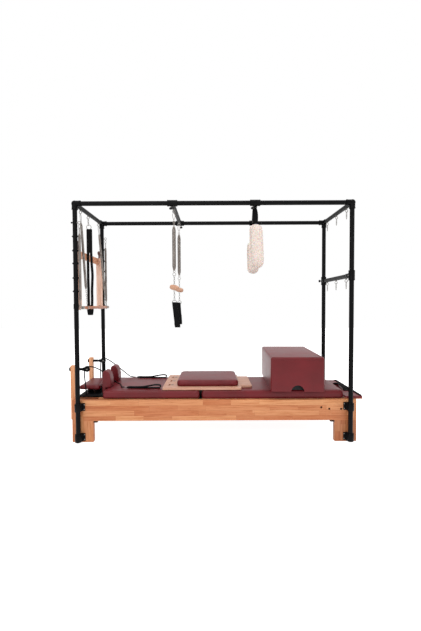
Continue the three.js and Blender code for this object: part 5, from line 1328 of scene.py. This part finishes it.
# Foot strap and edge strip on the platform.
# A band of padded black webbing arches over the platform to hold the feet, screwed down at both ends, and a
# ribbed rubber strip guards the platform's outer edge.
low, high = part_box("foot_strap")
arch_x = 1190 * mm + row_offset.x
shape = bmesh.new()
half_arch = [(-150, 3), (-138, 4), (-118, 12), (-80, 22), (-40, 26.5)]
arch = half_arch + [(0, 28)] + [(-a, b) for a, b in reversed(half_arch)]
arch = [(arch_x, middle_y + a * mm, low.z + b * mm) for a, b in arch]
swept(shape, run_through(arch, 5), in_mm([(-24, -2), (24, -2), (24, 2), (-24, 2)]), (1, 0, 0), False)
padding = [(22 * cos(tau * i / 16) * mm, 3.6 * sin(tau * i / 16) * mm) for i in range(16)]
swept(shape, run_through(arch[2:9], 6), padding, (1, 0, 0), False)
strip_x = high.x - 12 * mm
for rib in range(-2, 3):
    block(shape, (3.4 * mm, 628 * mm, 4 * mm), (strip_x + rib * 4.6 * mm, middle_y, low.z + 2 * mm), 1 * mm)
block(shape, (23.6 * mm, 626 * mm, 2.4 * mm), (strip_x, middle_y, low.z + 1.2 * mm), 0.6 * mm)
for direction in (-1, 1):
    foot_at = (arch_x + 22 * mm, middle_y + direction * 137 * mm, low.z + 2 * mm)
    block(shape, (92 * mm, 26 * mm, 4 * mm), foot_at, 1 * mm)
    turned(shape, screw_profile, pointing((arch_x, foot_at[1], low.z + 4.4 * mm)), 16, 1)
piece("foot_strap_band", shape, "base", "webbing", [webbing, bright_steel], "foot_strap")


# Shoulder rests.
# Moulded foam on a wooden core under maroon vinyl: upright towards the head, rounded towards the mat, with a
# seam down each side and a peg into the head board.
back, nose = -988 * mm + row_offset.x, -913 * mm + row_offset.x
step_x, step_z, foot_z = -959.6 * mm + row_offset.x, 430.3 * mm, 380.3 * mm
stepped_foot = [(back, foot_z), (step_x, foot_z), (step_x, step_z), (nose - 6 * mm, step_z)]
nose_line = [(2, 438), (0, 470), (3, 505), (10, 540), (21, 564), (34, 576)]
back_line = [(25, 579), (11, 575), (2, 563), (0, 546)]
curve_points = [(nose - a * mm, 0, z * mm) for a, z in nose_line]
curve_points += [(back + a * mm, 0, z * mm) for a, z in back_line]
profile = stepped_foot + [(point.x, point.z) for point in run_through(curve_points, 3)]
seam_path = [Vector((x, 0, z)) for x, z in profile]
centre_x = sum(p.x for p in seam_path) / len(seam_path)
centre_z = sum(p.z for p in seam_path) / len(seam_path)
for side, direction in sides:
    body = f"shoulder_rest_{side}"
    low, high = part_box(body)
    middle = (low.y + high.y) / 2
    shape = bmesh.new()
    slab(shape, profile, 110 * mm, upright((0, middle, 0)), 4 * mm, 4)
    rest = piece(f"shoulder_pad_{side}", shape, body, "vinyl", [vinyl], body, sharp=60)
    shape = bmesh.new()
    for hand in (-1, 1):
        seam_y = middle + hand * 47 * mm
        line = [
            Vector((centre_x + (p.x - centre_x) * 0.99, seam_y, centre_z + (p.z - centre_z) * 0.995))
            for p in seam_path[4:]
        ]
        swept(shape, line, round_section(1.4 * mm, 6), (0, 1, 0), False)
    peg_at = Matrix.Translation((step_x - 8 * mm, middle, low.z))
    turned(shape, tube_profile(6 * mm, 16 * mm), peg_at, 16, 1)
    piece(f"shoulder_seam_{side}", shape, body, "vinyl", [vinyl, bright_steel], sharp=180)


# Jump board.
# A pale birch ply board with rounded corners, laid across both mats. Its narrower tab points to the foot end,
# and three slots at the head end have small steel latch plates beside them.
board_finish = timber_finish("jump board birch", "#caa08b", "#bd8d77", stave=(3.0, 0.9), contrast=0.5)
low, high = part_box("jump_board")
shoulder_x = high.x - 99 * mm
half, tab = 290 * mm, 210 * mm
ease = 14 * mm


def quarter(cx, cy, start):
    angles = [radians(start + 90 * i / 5) for i in range(6)]
    return [(cx + ease * cos(a), cy + ease * sin(a)) for a in angles]


outline = quarter(low.x + ease, -half + ease, 180) + quarter(shoulder_x - ease, -half + ease, 270)
outline += [(shoulder_x, -tab)] + quarter(high.x - ease, -tab + ease, 270)
outline += quarter(high.x - ease, tab - ease, 0) + [(shoulder_x, tab)]
outline += quarter(shoulder_x - ease, half - ease, 0) + quarter(low.x + ease, half - ease, 90)
shape = bmesh.new()
board_z = (low.z + high.z) / 2
slab(shape, outline, 19 * mm, Matrix.Translation((0, middle_y, board_z)), 2.5 * mm)
slots = bmesh.new()
slot_x = -396 * mm + row_offset.x
slot_rows = (-165, 0, 165)
for y in slot_rows:
    at = Matrix.Translation((slot_x, middle_y + y * mm, board_z))
    slab(slots, rounded(17 * mm, 57 * mm, 8.4 * mm, 6), 40 * mm, at, 0)
shape = carved(shape, slots)
piece("jump_board_panel", shape, "jump_board", "pale_wood", [board_finish], "jump_board")
shape = bmesh.new()
small_screw = [(r * 0.6, h * 0.6) for r, h in screw_profile]
for y in slot_rows:
    for hand in (-1, 1):
        latch_at = (slot_x + 26 * mm, middle_y + (y + hand * 14) * mm, high.z + 0.6 * mm)
        block(shape, (26 * mm, 9 * mm, 1.6 * mm), latch_at, 0.5 * mm)
        screw_at = (latch_at[0] + 6 * mm, latch_at[1], latch_at[2] + 0.7 * mm)
        turned(shape, small_screw, pointing(screw_at), 12)
piece("jump_board_latches", shape, "jump_board", "steel", [bright_steel])


# Sitting box.
# A plywood box under maroon vinyl with a padded lid, its edges piped, and a half-round hand hole cut into the
# foot of both end faces. The wall and back of each hole are painted black: painted shade in the recess.
low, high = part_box("sitting_box")
middle = (low + high) / 2
askew = Matrix.Rotation(radians(-2.5), 4, "Z")
standing_place = Matrix.Translation(middle + Vector((17 * mm, -14 * mm, 0))) @ askew
size = (high.x - low.x + 4 * mm, 796 * mm, high.z - low.z)
shape = bmesh.new()
part = bmesh.new()
bmesh.ops.create_cube(part, size=1.0, matrix=Matrix.Diagonal((*size, 1.0)))
upper = [e for e in part.edges if max(v.co.z for v in e.verts) > 0]
bevelled(part, upper, 20 * mm, 7)
set_in(shape, part)
holes = bmesh.new()
hole_radius, hole_depth = 54 * mm, 70 * mm
bore = [(0, -hole_depth), (hole_radius, -hole_depth), (hole_radius, 20 * mm), (0, 20 * mm)]
for direction in (-1, 1):
    turned(holes, bore, pointing((0, direction * size[1] / 2, -size[2] / 2), (0, direction, 0)), 48)
shape = carved(shape, holes)
# Painted shade: the faces of each hole's wall and back take the black plastic, to darken the recess.
for face in shape.faces:
    spot = face.calc_center_median()
    from_axis = Vector((spot.x, spot.z + size[2] / 2)).length
    depth = size[1] / 2 - abs(spot.y)
    in_shaded_wall = abs(from_axis - hole_radius) < 1 * mm and 5 * mm < depth < hole_depth - 1 * mm
    in_shaded_back = from_axis < hole_radius and abs(depth - hole_depth) < 1 * mm
    face.material_index = 1 if in_shaded_wall or in_shaded_back else 0
bmesh.ops.transform(shape, matrix=standing_place, verts=shape.verts)
box_vinyl = vinyl_finish("box vinyl", "#5c0b12", "#681219")
finishes = [box_vinyl, black_plastic]
box_piece = piece("sitting_box_body", shape, "sitting_box", "vinyl", finishes, "sitting_box", sharp=40)
shape = bmesh.new()
ring = rounded(size[0] - 1 * mm, size[1] - 1 * mm, 19 * mm, 6)
line = [Vector((x, y, size[2] / 2 - 24 * mm)) for x, y in ring]
swept(shape, line, round_section(1.8 * mm), (0, 0, 1), True)
bmesh.ops.transform(shape, matrix=standing_place, verts=shape.verts)
piece("sitting_box_piping", shape, "sitting_box", "vinyl", [box_vinyl], sharp=180)


# Studio floor, backdrop and light.
# A plain white floor under soft, even light from a large window-like lamp on each side and one above.
floor_finish, tree, shader, place = new_finish("studio floor", 0.9, specular=0.0)
paper = mottle(tree, place, 2.0)
tinted(tree, shader, paper, "#fdfdfd", "#ffffff")


def seen_share(tree):
    """One for the rays that the camera sees, straight or in a gloss, and nought for the light that fills."""
    rays = put(tree, "LightPath")
    return reckon(tree, "MAXIMUM", rays.outputs["Is Camera Ray"], rays.outputs["Is Glossy Ray"])


shader.inputs["Emission Color"].default_value = (1, 1, 1, 1)
floor_glow = reckon(tree, "MULTIPLY", seen_share(tree), 0.86)
tree.links.new(floor_glow, shader.inputs["Emission Strength"])
shape = bmesh.new()
bmesh.ops.create_grid(shape, x_segments=2, y_segments=2, size=14.0)
mesh = bpy.data.meshes.new("floor")
shape.to_mesh(mesh)
shape.free()
mesh.materials.append(floor_finish)
floor = bpy.data.objects.new("floor", mesh)
floor.location.z = -0.5 * mm
bpy.context.scene.collection.objects.link(floor)

world = bpy.data.worlds.new("studio")
bpy.context.scene.world = world
world.use_nodes = True
tree = world.node_tree
background = tree.nodes["Background"]
background.inputs["Color"].default_value = (1, 1, 1, 1)
through = put(tree, "LightPath").outputs["Is Transmission Ray"]
seen = reckon(tree, "MAXIMUM", seen_share(tree), through)
tree.links.new(reckon(tree, "MULTIPLY_ADD", seen, 0.42, 0.58), background.inputs["Strength"])


def soft_lamp(name, place, aim, size, power):
    lamp = bpy.data.lights.new(name, "AREA")
    lamp.shape = "RECTANGLE"
    lamp.size, lamp.size_y = size
    lamp.energy = power
    made = bpy.data.objects.new(name, lamp)
    turn = (Vector(aim) - Vector(place)).to_track_quat("-Z", "Y")
    made.matrix_world = Matrix.Translation(place) @ turn.to_matrix().to_4x4()
    bpy.context.scene.collection.objects.link(made)


soft_lamp("top light", (0, -0.6, 4.6), (0, 0, 0.4), (4.5, 3.0), 95)
soft_lamp("front light", (-1.6, -4.6, 3.0), (0, 0, 0.7), (3.0, 2.4), 75)
soft_lamp("side light", (3.8, -2.2, 2.4), (0, 0, 0.8), (2.0, 2.4), 28)

# Camera.
# It stands in front of the middle of the table at chest height and looks down by less than two degrees. Its
# lens gives the view of the photograph, whose longer side is 631 pixels.
pitch, yaw, roll = radians(1.79272), radians(-0.02733), radians(0.25168)
focal_pixels, longer_side = 361.404, 631
camera = bpy.data.cameras.new("camera")
camera.sensor_width = 36
camera.lens = focal_pixels * camera.sensor_width / longer_side
camera.clip_start = 0.05
camera.clip_end = 60
viewer = bpy.data.objects.new("camera", camera)
level_view = Matrix.Rotation(-yaw, 4, "Z") @ Matrix.Rotation(radians(90) - pitch, 4, "X")
aim = level_view @ Matrix.Rotation(-roll, 4, "Z")
viewer.matrix_world = Matrix.Translation((-0.02742, -3.38986, 1.16586)) @ aim
bpy.context.scene.collection.objects.link(viewer)
bpy.context.scene.camera = viewer
bpy.context.scene.view_settings.view_transform = "Standard"
